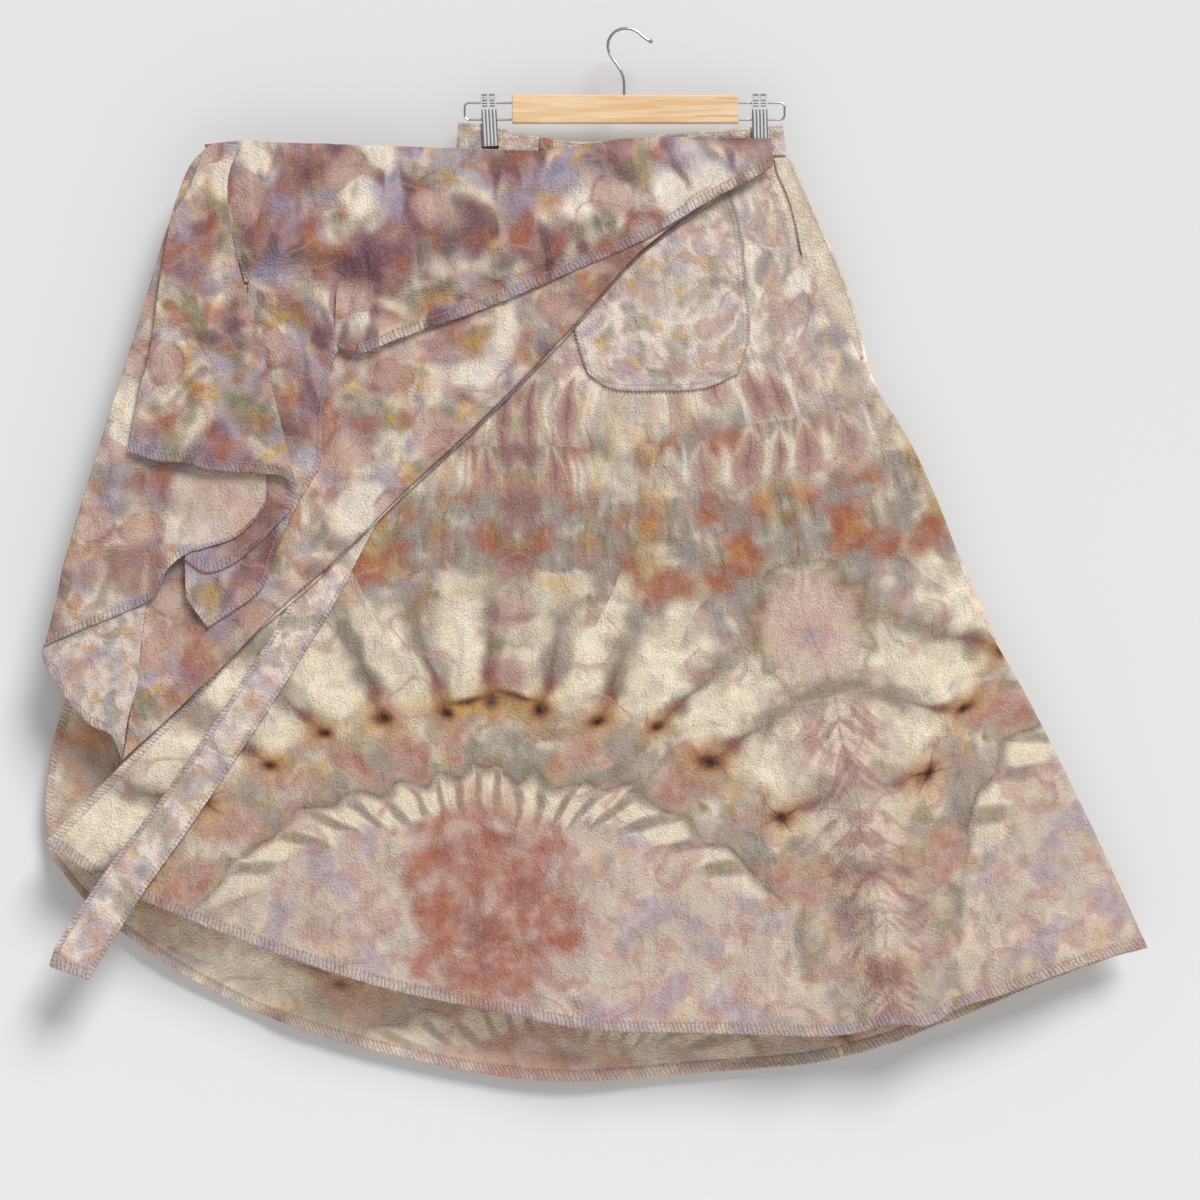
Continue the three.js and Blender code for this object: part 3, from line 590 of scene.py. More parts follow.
def tie_y(u: Array, v: Array, x: Array, drop: Array) -> Array:
    """The tie, hanging clear of the front panel below the wrap."""
    lift = LAYER + 1.8 * smoother((v - 0.3) * 5) + 1.5 * smoother((v - 0.6) * 2)
    free = smoother((v - 0.3) * 4)
    wave = 1.2 * np.sin(v * 17 + 1) * free + crease_height(TIE_CREASES, x, drop)
    return front_y(x, drop) - lift - wave * free


def leg_y(u: Array, v: Array, x: Array, drop: Array) -> Array:
    """The turned-under leg of the wrap."""
    return front_y(x, drop) - LAYER - LAYER * 1.1 * smoother(v * 20)


def body_y(u: Array, v: Array, x: Array, drop: Array) -> Array:
    """The body of the wrap, with its rolled edges and diagonal folds."""
    rest = edge_distance(BODY_EDGE["right"], x, drop)
    left = edge_distance(BODY_EDGE["left"], x, drop)
    roll = np.maximum(rolled(rest, 2.4), rolled(left, 2.4))
    head = smoother(v * 7)
    puff = 1.4 * np.exp(-(((rest - 22) / 16) ** 2))
    clear = smoother(np.minimum(rest / 12, left / 30))
    folds = ridge_height(BODY_FOLDS, x, drop) + crease_height(BODY_CREASES, x, drop)
    soft = 0.45 * ripple((x + drop) / 45, (x - drop) / 26, 37)
    lift = eased(BODY_EDGE_LIFT, eased(BODY_LIFT, BODY_MIDDLE_LIFT, (rest - 20) / 60), v * 7)
    return front_y(x, drop) - lift + roll - puff * head - (folds + soft) * clear * head


def turned_y(u: Array, v: Array, x: Array, drop: Array) -> Array:
    """The turned-back face low on the left."""
    return front_y(x, drop) - TURNED_LIFT - crease_height(TURNED_CREASES, x, drop) * smoother(v * 4)


def fall_lift(x: Array, drop: Array) -> Array:
    """How far the falling front edge stands off the front panel."""
    return eased(FALL_LIFT, FALL_LOW_LIFT, (drop - 490) / 90) + ridge_height(FALL_FOLDS, x, drop)


def left_y(u: Array, v: Array, x: Array, drop: Array) -> Array:
    """The stretch that falls at the far left and loops over the front edge."""
    over = fall_lift(x, drop) + LAYER * (1 + smoother((drop - 390) / 50))
    lift = eased(LEFT_LIFT, over, (x + 512) / 38)
    folds = ridge_height(LEFT_FOLDS, x, drop) * smoother((1 - v) * 6) * smoother((-474 - x) / 24)
    fine = crease_height(LEFT_CREASES, x, drop) + 0.35 * ripple(x / 22, drop / 60, 39)
    return front_y(x, drop) - lift - folds - fine * smoother(v * 5)


def drape_y(u: Array, v: Array, x: Array, drop: Array) -> Array:
    """The upper drape: close at the waist, rolled along its lower fold."""
    leftwards = (-200 - x) / 80
    start = eased(DRAPE_TOP_LIFT, DRAPE_LEFT_LIFT, leftwards)
    full = eased(DRAPE_LIFT, DRAPE_LEFT_LIFT, leftwards)
    lift = eased(start, full, (drop - read_table(DRAPE_SECTIONS, x)) / 22)
    folds = ridge_height(DRAPE_FOLDS, x, drop) * smoother(v * 5)
    fine = crease_height(DRAPE_CREASES, x, drop) + 0.45 * ripple(x / 48, drop / 20, 41)
    proud = lift + folds + fine * smoother(v * 6)
    # The lower left edge sinks softly into the cloth that falls from under it.
    reach = 12 + 24 * smoother((288 - drop) / 26)
    near = 1 - smoother(edge_distance(DRAPE_TURN, x, drop) / reach)
    sunk = fall_lift(x, drop) + 0.5 - 1.1 * smoother((near - 0.93) / 0.07)
    return front_y(x, drop) - proud * (1 - near) - sunk * near


def fall_y(u: Array, v: Array, x: Array, drop: Array) -> Array:
    """The front edge falling under the drape's lower fold."""
    fine = crease_height(FALL_CREASES, x, drop) + 0.3 * ripple(x / 16, drop / 50, 43)
    return front_y(x, drop) - fall_lift(x, drop) - fine * smoother(v * 6)


def curl_y(u: Array, v: Array, x: Array, drop: Array) -> Array:
    """The curled hem between the front edge and the loop over it."""
    return front_y(x, drop) - fall_lift(x, drop) - LAYER - 0.3 * ripple(x / 14, drop / 20, 45)


def flap_y(u: Array, v: Array, x: Array, drop: Array) -> Array:
    """The front-most corner flap."""
    lift = eased(FLAP_TOP_LIFT, FLAP_LIFT, v)
    fine = crease_height(FLAP_CREASES, x, drop) + 0.35 * ripple(x / 18, drop / 55, 47)
    return front_y(x, drop) - lift - ridge_height(FLAP_FOLDS, x, drop) - fine * smoother(v * 5)


# ------------------------------------------------------------------ shader graph

class Graph:
    """Short forms for building a shader node tree."""

    def __init__(self, tree: bpy.types.NodeTree) -> None:
        """Keeps the tree.

        Args:
            tree: Node tree to build in.
        """
        self.tree = tree

    def node(self, kind: str, **props: object) -> bpy.types.Node:
        """Adds a node.

        Args:
            kind: Blender's node type.
            **props: Properties to set.

        Returns:
            The node.
        """
        made = self.tree.nodes.new(kind)
        for key, value in props.items():
            setattr(made, key, value)
        return made

    def put(self, socket: Socket, value: object) -> None:
        """Links a socket or sets its value.

        Args:
            socket: Input socket.
            value: Another socket, a number, or a tuple.
        """
        if isinstance(value, Socket):
            self.tree.links.new(value, socket)
        else:
            socket.default_value = value

    def fill(self, node: bpy.types.Node, values: dict[str, object]) -> None:
        """Links or sets a node's inputs by name.

        Args:
            node: The node.
            values: What each input gets.
        """
        for key, value in values.items():
            self.put(node.inputs[key], value)

    def math(self, op: str, a: Value, b: Value = 0.0) -> Socket:
        """A math node.

        Args:
            op: Operation.
            a: First value.
            b: Second value.

        Returns:
            The result.
        """
        made = self.node("ShaderNodeMath", operation=op)
        for i, value in enumerate((a, b)):
            self.put(made.inputs[i], value)
        return made.outputs[0]

    def add(self, a: Value, b: Value) -> Socket:
        """a + b."""
        return self.math("ADD", a, b)

    def sub(self, a: Value, b: Value) -> Socket:
        """a - b."""
        return self.math("SUBTRACT", a, b)

    def mul(self, a: Value, b: Value) -> Socket:
        """a * b."""
        return self.math("MULTIPLY", a, b)

    def vector(self, op: str, a: object, b: object = (0.0, 0.0, 0.0), scale: Value = 1.0) -> Socket:
        """A vector math node.

        Args:
            op: Operation.
            a: First vector.
            b: Second vector.
            scale: Scale, for SCALE.

        Returns:
            The vector result, or the value for LENGTH.
        """
        made = self.node("ShaderNodeVectorMath", operation=op)
        self.put(made.inputs[0], a)
        if op == "SCALE":
            self.put(made.inputs["Scale"], scale)
        elif op != "LENGTH":
            self.put(made.inputs[1], b)
        return made.outputs["Value"] if op == "LENGTH" else made.outputs[0]

    def combine(self, x: Value, y: Value) -> Socket:
        """A flat vector from two values."""
        made = self.node("ShaderNodeCombineXYZ")
        self.fill(made, {"X": x, "Y": y})
        return made.outputs[0]

    def split(self, vector: Socket) -> tuple[Socket, ...]:
        """The three values of a vector."""
        made = self.node("ShaderNodeSeparateXYZ")
        self.put(made.inputs[0], vector)
        return tuple(made.outputs)

    def noise(
        self, vector: Socket, size: float, seed: float = 0.0, detail: float = 2.0,
        rough: float = 0.5, stretch: tuple[float, float] = (1.0, 1.0), colour: bool = False,
    ) -> Socket:
        """Noise with cells of a size in millimetres.

        Args:
            vector: Point in millimetres.
            size: Cell size.
            seed: Offset of the field.
            detail: Octaves.
            rough: Strength of the octaves.
            stretch: Longer cells along each axis.
            colour: True for the three-channel output.

        Returns:
            Value about 0.5, or a colour.
        """
        placed = self.vector("MULTIPLY", vector, (1 / size / stretch[0], 1 / size / stretch[1], 1 / size))
        moved = self.vector("ADD", placed, (seed * 17.3, seed * 9.1, seed * 3.7))
        made = self.node("ShaderNodeTexNoise", noise_dimensions="2D")
        self.fill(made, {"Vector": moved, "Scale": 1.0, "Detail": detail, "Roughness": rough})
        return made.outputs["Color" if colour else 0]

    def step(self, value: Value, low: Value, high: Value) -> Socket:
        """Smooth step from 0 at low to 1 at high.

        Args:
            value: Input.
            low: Start.
            high: End, may be below low.

        Returns:
            Value from 0 to 1.
        """
        made = self.node("ShaderNodeMapRange", interpolation_type="SMOOTHSTEP")
        self.fill(made, {"Value": value, "From Min": low, "From Max": high})
        return made.outputs[0]

    def within(self, zone: Value, value: Value, low: Value, high: Value) -> Socket:
        """The value's smooth step, inside a zone only.

        Args:
            zone: Where it counts, from 0 to 1.
            value: Input.
            low: Start.
            high: End, may be below low.

        Returns:
            Value from 0 to 1.
        """
        return self.mul(zone, self.step(value, low, high))

    def bell(self, value: Value, width: Value) -> Socket:
        """exp(-(value/width)^2)."""
        ratio = self.math("DIVIDE", value, width)
        return self.math("EXPONENT", self.mul(self.mul(ratio, ratio), -1.0))

    def mix(self, share: Value, a: object, b: object) -> Socket:
        """Mixes two colours.

        Args:
            share: How much of b.
            a: First colour.
            b: Second colour.

        Returns:
            The colour.
        """
        made = self.node("ShaderNodeMix", data_type="RGBA", clamp_factor=True)
        self.put(made.inputs[0], share)
        self.put(made.inputs[6], a)
        self.put(made.inputs[7], b)
        return made.outputs[2]

    def radius(self, a: Value, b: Value) -> Socket:
        """sqrt(a * a + b * b)."""
        return self.math("SQRT", self.add(self.mul(a, a), self.mul(b, b)))

    def size_of(self, value: Value) -> Socket:
        """The value without its sign."""
        return self.math("ABSOLUTE", value)

    def fade(self, value: Value, reach: float) -> Socket:
        """exp(-value / reach)."""
        return self.math("EXPONENT", self.math("DIVIDE", value, -reach))

    def object_mm(self) -> Socket:
        """The point on the object, in millimetres."""
        return self.vector("SCALE", self.node("ShaderNodeTexCoord").outputs["Object"], scale=1000.0)

    def bump(self, shader: bpy.types.Node, height: Value, strength: float, distance: float) -> None:
        """Gives a shader relief.

        Args:
            shader: The surface.
            height: Its relief.
            strength: Share of the relief that shows.
            distance: Metres for one unit of height.
        """
        made = self.node("ShaderNodeBump")
        self.fill(made, {"Strength": strength, "Distance": distance, "Height": height})
        self.put(shader.inputs["Normal"], made.outputs[0])

    def group(self, tree: bpy.types.NodeTree, *values: object) -> bpy.types.Node:
        """Uses a node group.

        Args:
            tree: The group.
            *values: What its inputs get, in order.

        Returns:
            The group's node.
        """
        made = self.node("ShaderNodeGroup")
        made.node_tree = tree
        for socket, value in zip(made.inputs, values):
            self.put(socket, value)
        return made

    def cell_value(self, a: Value, b: Value = 0.0) -> Socket:
        """A fixed random value for a cell."""
        made = self.node("ShaderNodeTexWhiteNoise", noise_dimensions="2D")
        self.put(made.inputs["Vector"], self.combine(a, b))
        return made.outputs[0]


def shared_group(
    name: str, inputs: Sequence[tuple[str, str]], outputs: Sequence[tuple[str, str]],
    fill: Callable[..., Sequence[object]],
) -> bpy.types.NodeTree:
    """Makes a node group the first time, and gives the same one after that.

    Args:
        name: Name of the group.
        inputs: Name and socket type of each input.
        outputs: Name and socket type of each output.
        fill: Builds the inside from a Graph and the inputs, and returns the outputs.

    Returns:
        The group's node tree.
    """
    found = bpy.data.node_groups.get(name)
    if found:
        return found
    tree = bpy.data.node_groups.new(name, "ShaderNodeTree")
    for label, kind in inputs:
        tree.interface.new_socket(name=label, in_out="INPUT", socket_type=kind)
    for label, kind in outputs:
        tree.interface.new_socket(name=label, in_out="OUTPUT", socket_type=kind)
    g = Graph(tree)
    source, sink = g.node("NodeGroupInput"), g.node("NodeGroupOutput")
    for socket, value in zip(sink.inputs, fill(g, *list(source.outputs)[: len(inputs)])):
        g.put(socket, value)
    return tree


def srgb(r: int, g: int, b: int) -> Colour:
    """A display colour as linear light.

    Args:
        r: Red 0..255.
        g: Green 0..255.
        b: Blue 0..255.

    Returns:
        Linear colour with alpha 1.
    """
    def one(c: int) -> float:
        """One channel."""
        s = c / 255
        return s / 12.92 if s <= 0.04045 else ((s + 0.055) / 1.055) ** 2.4

    return one(r), one(g), one(b), 1.0


class Dye(Enum):
    """The dyes that the cloth was sprinkled with, as they look on the cotton."""

    CREAM = srgb(231, 219, 197)
    PALE = srgb(243, 234, 218)
    MILK = srgb(230, 217, 206)
    GREIGE = srgb(203, 191, 178)
    GREY = srgb(166, 158, 152)
    LILAC = srgb(174, 164, 180)
    PINK = srgb(192, 160, 150)
    BLUSH = srgb(215, 195, 181)
    RUST = srgb(174, 110, 84)
    ROSE = srgb(156, 112, 110)
    OLIVE = srgb(140, 134, 106)
    OCHRE = srgb(214, 168, 78)
    PLUM = srgb(120, 86, 98)
    BROWN = srgb(62, 42, 30)
    BLUE = srgb(132, 146, 176)


class Pattern(Enum):
    """How the cloth was folded for dyeing."""

    FAN = "dye_fan"
    CLOUDS = "dye_clouds"
    PALE = "dye_pale"


# A coat of dye: its mask, the dye, its strength.
Coat = tuple[Value, Dye, Value]
# Washes: dye where the noise is high, dye where it is low, cell in mm, half gap between them, softness, strength.
Wash = tuple[Dye, Dye, float, float, float, float]
WASHES: dict[Pattern, tuple[Wash, ...]] = {
    Pattern.FAN: (
        (Dye.GREIGE, Dye.BLUSH, 96, 0.0, 0.22, 0.9), (Dye.GREY, Dye.PINK, 58, 0.01, 0.18, 0.85),
        (Dye.OLIVE, Dye.LILAC, 44, 0.02, 0.17, 0.7), (Dye.RUST, Dye.OCHRE, 30, 0.06, 0.13, 0.75),
    ),
    Pattern.CLOUDS: (
        (Dye.GREIGE, Dye.BLUSH, 92, 0.0, 0.22, 0.9), (Dye.PINK, Dye.GREY, 60, 0.0, 0.19, 0.8),
        (Dye.OLIVE, Dye.LILAC, 48, 0.02, 0.17, 0.7), (Dye.OCHRE, Dye.BLUSH, 34, 0.10, 0.10, 0.45),
    ),
    Pattern.PALE: (
        (Dye.GREIGE, Dye.BLUSH, 64, 0.0, 0.22, 0.75), (Dye.LILAC, Dye.OLIVE, 44, 0.04, 0.17, 0.5),
        (Dye.PINK, Dye.GREY, 32, 0.05, 0.14, 0.6), (Dye.OCHRE, Dye.LILAC, 22, 0.13, 0.10, 0.4),
    ),
}
# The fan's fold lines meet at APEX; PHI are the two fold lines; CENTRE is where it was tied; SPOKE parts the knots.
APEX = (-46.0, 486.0)
PHI = (-0.0693, 0.2146)
CENTRE = (-144.0, -921.0)
SPOKE = 0.25
KNOT_RING = 212.0


class DyePattern:
    """A node group that paints one pattern, from a point in millimetres of cloth."""

    def __init__(self, pattern: Pattern) -> None:
        """Keeps the pattern.

        Args:
            pattern: Which folding.
        """
        self.pattern = pattern

    def tree(self) -> bpy.types.NodeTree:
        """The pattern's node group, made once.

        Returns:
            A group from Point and Plum to Colour.
        """
        fill = {Pattern.FAN: self._fan, Pattern.CLOUDS: self._clouds, Pattern.PALE: self._pale}[self.pattern]
        return shared_group(
            self.pattern.value, (("Point", "NodeSocketVector"), ("Plum", "NodeSocketFloat")),
            (("Colour", "NodeSocketColor"),), fill)

    def _paint(self, g: Graph, base: object, *coats: Coat) -> Socket:
        """Lays dyes over the colour, each through its mask."""
        for mask, dye, strength in coats:
            base = g.mix(g.mul(mask, strength), base, dye.value)
        return base

    def _warp(self, g: Graph, point: Socket) -> Socket:
        """Wanders the point as dye creeps through wet folds."""
        moved = point
        for size, seed, detail, reach in ((96.0, 1.3, 0.0, 24.0), (26.0, 2.7, 0.0, 5.0)):
            drift = g.vector("SUBTRACT", g.noise(point, size, seed, detail, colour=True), (0.5, 0.5, 0.5))
            moved = g.vector("ADD", moved, g.vector("SCALE", drift, scale=reach))
        return moved

    def _washes(
        self, g: Graph, base: object, point: Socket, seed: float,
        stretch: tuple[float, float] = (1.0, 1.0),
    ) -> Socket:
        """Lays the pattern's soft washes, one over the other."""
        colour = base
        for number, (high, low, size, gap, soft, strength) in enumerate(WASHES[self.pattern]):
            spread = g.noise(point, size, seed + number, 2.0, 0.5, stretch)
            colour = self._paint(
                g, colour,
                (g.step(spread, 0.49 + gap, 0.49 + gap + soft), high, strength),
                (g.step(spread, 0.51 - gap, 0.51 - gap - soft), low, strength))
        return colour

    def _tides(self, g: Graph, base: object, point: Socket, seed: float) -> Socket:
        """The fine lines that wet dye leaves where it stopped spreading."""
        spread = g.noise(point, 62, seed, 1.0, 0.45)
        some = g.step(g.noise(point, 58, seed + 1.0, 0.0), 0.47, 0.62)
        return self._paint(
            g, base,
            (g.mul(g.bell(g.sub(spread, 0.50), 0.022), some), Dye.PINK, 0.55),
            (g.mul(g.bell(g.sub(spread, 0.483), 0.009), some), Dye.ROSE, 0.22))

    def _pale(self, g: Graph, point: Socket, plum: Value) -> tuple[Socket]:
        """Cloth that little dye reached."""
        q = self._warp(g, point)
        return (self._tides(g, self._washes(g, Dye.MILK.value, q, 40.0), q, 47.0),)

    def _fan(self, g: Graph, point: Socket, plum: Value) -> tuple[Socket]:
        """Fan of spokes round a tied centre, mirrored in the fold lines."""
        q = self._warp(g, point)
        x, z, _ = g.split(q)
        dx, dz = g.sub(x, APEX[0]), g.sub(APEX[1], z)
        rho = g.radius(dx, dz)
        phi = g.math("ARCTAN2", dx, dz)
        folded = g.sub(PHI[1], g.size_of(g.sub(phi, PHI[1])))
        xf = g.add(g.mul(rho, g.math("SINE", folded)), APEX[0])
        zf = g.sub(APEX[1], g.mul(rho, g.math("COSINE", folded)))
        across = g.mul(g.size_of(g.sub(folded, PHI[0])), 900.0)
        f = g.combine(across, rho)
        wide, deep = g.noise(f, 54, 16.0, 2.0), g.noise(f, 40, 18.0, 1.0)
        streaks = g.step(g.noise(f, 13, 17.0, 2.0, 0.55, (0.7, 5.0)), 0.46, 0.72)

        c = self._washes(g, Dye.CREAM.value, f, 1.0, (0.75, 1.35))
        upper = g.step(z, -450.0, -330.0)
        c = self._paint(
            g, c,
            (upper, Dye.MILK, 0.5),
            (g.within(upper, wide, 0.46, 0.64), Dye.GREY, 0.8),
            (g.mul(upper, streaks), Dye.LILAC, 0.5),
            (g.within(upper, deep, 0.52, 0.68), Dye.PALE, 0.8),
            (g.mul(upper, g.bell(g.sub(wide, 0.40), 0.05)), Dye.PINK, 0.6))
        middle = g.mul(g.step(z, -740.0, -600.0), g.step(z, -370.0, -450.0))
        c = self._paint(
            g, c,
            (middle, Dye.GREY, 0.55),
            (g.mul(middle, streaks), Dye.OLIVE, 0.65),
            (g.within(middle, wide, 0.44, 0.66), Dye.RUST, 0.8),
            (g.within(middle, wide, 0.46, 0.32), Dye.CREAM, 0.7),
            (g.within(middle, deep, 0.52, 0.26), Dye.GREY, 0.8),
            (g.within(middle, deep, 0.54, 0.78), Dye.OCHRE, 0.35))
        hung = g.mul(g.step(z, -500.0, -470.0), g.step(z, -340.0, -375.0))
        c = self._drops(g, c, across, rho, hung, Dye.ROSE)
        c = self._spokes(g, c, xf, zf)
        return (self._tides(g, self._columns(g, c, phi, folded, rho, z, f), f, 23.0),)

    def _drops(
        self, g: Graph, base: object, across: Socket, rho: Socket, zone: Value,
        dye: Dye,
    ) -> Socket:
        """A row of uneven teardrops with a rim and a vein, parted by pale pins."""
        u, v = g.math("DIVIDE", across, 37.0), g.math("DIVIDE", rho, 84.0)
        row = g.math("FLOOR", v)
        u = g.add(u, g.mul(g.math("MODULO", row, 2.0), 0.5))
        column = g.math("FLOOR", u)
        chance, second = g.cell_value(column, row), g.cell_value(g.add(column, 0.37), row)
        third = g.cell_value(column, g.add(row, 0.61))
        cu = g.sub(g.mul(g.sub(g.sub(u, column), 0.5), 37.0), g.mul(g.sub(second, 0.5), 9.0))
        cv = g.sub(g.mul(g.sub(g.sub(v, row), 0.5), 84.0), g.mul(g.sub(third, 0.5), 30.0))
        wide = g.mul(g.add(6.0, g.mul(g.step(cv, -36.0, 12.0), 7.0)), g.add(0.7, g.mul(second, 0.5)))
        a, b = g.math("DIVIDE", cu, wide), g.math("DIVIDE", cv, g.add(18.0, g.mul(chance, 16.0)))
        shape = g.radius(a, b)
        present = g.mul(g.step(chance, 0.15, 0.60), zone)
        c = self._paint(
            g, base,
            (g.mul(g.step(shape, 2.2, 1.0), zone), Dye.CREAM, 0.45),
            (g.mul(g.step(shape, 1.35, 0.65), present), Dye.PINK, 0.8),
            (g.mul(g.step(shape, 1.1, 0.1), present), dye, 0.6),
            (g.mul(g.bell(g.sub(shape, 0.98), 0.10), present), Dye.ROSE, 0.25))
        vein = g.mul(g.bell(cu, 1.4), g.step(g.size_of(cv), 40.0, 22.0))
        c = self._paint(g, c, (g.mul(vein, present), Dye.PLUM, 0.35))
        pin = g.mul(g.bell(g.sub(g.size_of(cu), 19.0), 3.6), g.step(g.size_of(cv), 38.0, 10.0))
        return self._paint(g, c, (g.mul(pin, zone), Dye.PALE, 0.6))

    def _spokes(self, g: Graph, base: object, x: Socket, z: Socket) -> Socket:
        """Petals, stalks, knots and rings round the tied centre."""
        dx, dz = g.sub(x, CENTRE[0]), g.sub(z, CENTRE[1])
        r = g.radius(dx, dz)
        theta = g.math("ARCTAN2", dx, dz)
        turn = g.math("DIVIDE", theta, SPOKE)
        cell = g.math("ROUND", turn)
        side = g.size_of(g.sub(turn, cell))
        du = g.mul(g.mul(g.sub(turn, cell), SPOKE), r)
        jitter = g.mul(g.sub(g.cell_value(cell, 4.0), 0.5), 10.0)
        dv = g.sub(r, g.add(g.add(KNOT_RING, g.mul(g.mul(turn, turn), 4.2)), jitter))
        swirl = g.combine(g.mul(turn, 40.0), r)
        flat = g.combine(x, z)
        rough = g.noise(swirl, 28, 11.0, 1.0, 0.5, (0.8, 1.3))
        ragged = g.mul(g.sub(rough, 0.5), 80.0)
        wobble = g.mul(g.sub(g.noise(flat, 26, 13.0, 0.0), 0.5), 0.30)
        blotch, mottle = g.noise(flat, 46, 19.0, 1.0, 0.6), g.noise(flat, 26, 20.0, 2.0, 0.5)
        above = g.step(g.size_of(theta), 1.75, 1.35)

        reach = g.add(84.0, g.mul(g.cell_value(cell, 9.0), 62.0))
        zone = g.mul(g.step(dv, -6.0, 22.0), g.step(g.add(dv, ragged), g.add(reach, 50.0), g.sub(reach, 12.0)))
        c = self._paint(
            g, base,
            (zone, Dye.GREY, 0.62),
            (g.within(zone, blotch, 0.40, 0.64), Dye.OLIVE, 0.5))
        petal = g.mul(zone, g.step(g.add(side, wobble), 0.02, 0.32))
        c = self._paint(
            g, c,
            (petal, Dye.CREAM, 0.95),
            (g.within(petal, mottle, 0.46, 0.60), Dye.PALE, 0.45),
            (g.within(petal, blotch, 0.52, 0.68), Dye.GREIGE, 0.6))

        band = g.mul(g.step(dv, 8.0, -12.0), g.step(dv, -96.0, -70.0))
        c = self._paint(
            g, c,
            (band, Dye.GREIGE, 0.5),
            (g.within(band, blotch, 0.44, 0.62), Dye.GREY, 0.8),
            (g.within(band, mottle, 0.50, 0.36), Dye.OLIVE, 0.45))
        block = g.mul(g.step(g.add(side, wobble), 0.48, 0.12), g.step(dv, -10.0, -30.0))
        block = g.mul(g.within(block, dv, -84.0, -62.0), g.step(g.cell_value(cell, 5.0), 0.1, 0.6))
        c = self._paint(
            g, c,
            (block, Dye.PINK, 0.75),
            (g.within(block, mottle, 0.40, 0.62), Dye.RUST, 0.5),
            (self._oval(g, du, g.add(dv, 17.0), 6.5, 12.0, 1.3, 0.4), Dye.PINK, 0.6))

        wave = g.mul(g.math("COSINE", g.mul(turn, 2 * math.pi)), 4.0)
        line = g.add(g.add(dv, 76.0), g.add(wave, g.mul(ragged, 0.15)))
        faint = g.within(above, mottle, 0.36, 0.56)
        c = self._paint(
            g, c,
            (g.mul(g.bell(line, 11.0), above), Dye.OLIVE, 0.5),
            (g.mul(g.bell(line, 2.4), faint), Dye.PLUM, 0.55))
        inside = g.step(line, 4.0, -16.0)
        c = self._paint(
            g, c,
            (inside, Dye.BLUSH, 0.6),
            (g.within(inside, blotch, 0.42, 0.62), Dye.GREIGE, 0.7),
            (g.within(inside, mottle, 0.50, 0.70), Dye.PINK, 0.7),
            (g.within(inside, blotch, 0.48, 0.34), Dye.LILAC, 0.5))
        rays = g.mul(g.mul(g.step(line, -3.0, -14.0), g.step(g.add(line, g.mul(ragged, 0.5)), -58.0, -34.0)), above)
        half = g.add(g.math("PINGPONG", g.mul(turn, 3.0), 1.0), wobble)
        c = self._paint(
            g, c,
            (g.within(rays, half, 0.50, 0.90), Dye.OLIVE, 0.55),
            (g.within(rays, half, 0.72, 0.40), Dye.CREAM, 0.9))
        heart = g.add(g.add(r, g.mul(g.size_of(dx), 0.25)), g.mul(g.sub(blotch, 0.5), 130.0))
        heart = g.step(heart, 142.0, 78.0)
        c = self._paint(
            g, c,
            (heart, Dye.PINK, 0.85),
            (g.within(heart, mottle, 0.20, 0.80), Dye.RUST, 0.85),
            (g.within(heart, blotch, 0.50, 0.64), Dye.ROSE, 0.5),
            (g.within(heart, mottle, 0.46, 0.24), Dye.BLUSH, 0.3))

        column = g.mul(g.bell(du, 6.0), g.mul(g.step(dv, -6.0, 8.0), g.step(dv, 110.0, 50.0)))
        c = self._paint(g, c, (column, Dye.OLIVE, 0.4))
        stalk = g.mul(g.bell(du, 2.2), g.mul(g.step(dv, -6.0, 6.0), g.step(dv, 76.0, 30.0)))
        c = self._paint(
            g, c,
            (stalk, Dye.PLUM, 0.6),
            (self._oval(g, du, g.sub(dv, 27.0), 7.5, 13.0, 1.3, 0.3), Dye.ROSE, 0.9),
            (self._oval(g, du, g.sub(dv, 27.0), 6.5, 12.0, 0.8, 0.1), Dye.PLUM, 0.4))
        bound = g.sub(g.sub(r, KNOT_RING + 10.0), g.mul(ragged, 0.08))
        bind = g.step(g.add(g.size_of(theta), g.mul(wobble, 0.2)), 0.33, 0.15)
        c = self._paint(
            g, c,
            (g.mul(g.bell(g.add(bound, 9.0), 9.0), bind), Dye.OCHRE, 0.55),
            (g.mul(g.bell(g.add(bound, 3.0), 6.0), bind), Dye.RUST, 0.6),
            (g.mul(g.bell(bound, 3.6), bind), Dye.BROWN, 0.95))
        near = g.add(g.mul(du, du), g.mul(dv, dv))
        star = g.step(g.size_of(cell), 3.5, 4.5)
        arms = g.mul(g.fade(g.size_of(g.mul(du, dv)), 12.0), g.fade(near, 340.0))
        c = self._paint(
            g, c,
            (g.fade(near, 480.0), Dye.OCHRE, 0.45),
            (g.fade(near, 120.0), Dye.RUST, 0.75))
        spot = g.fade(near, 52.0)
        return self._paint(g, c, (g.math("MAXIMUM", spot, g.mul(arms, star)), Dye.BROWN, 0.97))

    def _oval(
        self, g: Graph, du: Value, dv: Value, wide: float, long: float, outer: float, inner: float,
    ) -> Socket:
        """A soft oval from 0 at the outer share of its size to 1 at the inner share."""
        a, b = g.math("DIVIDE", du, wide), g.math("DIVIDE", dv, long)
        return g.step(g.radius(a, b), outer, inner)

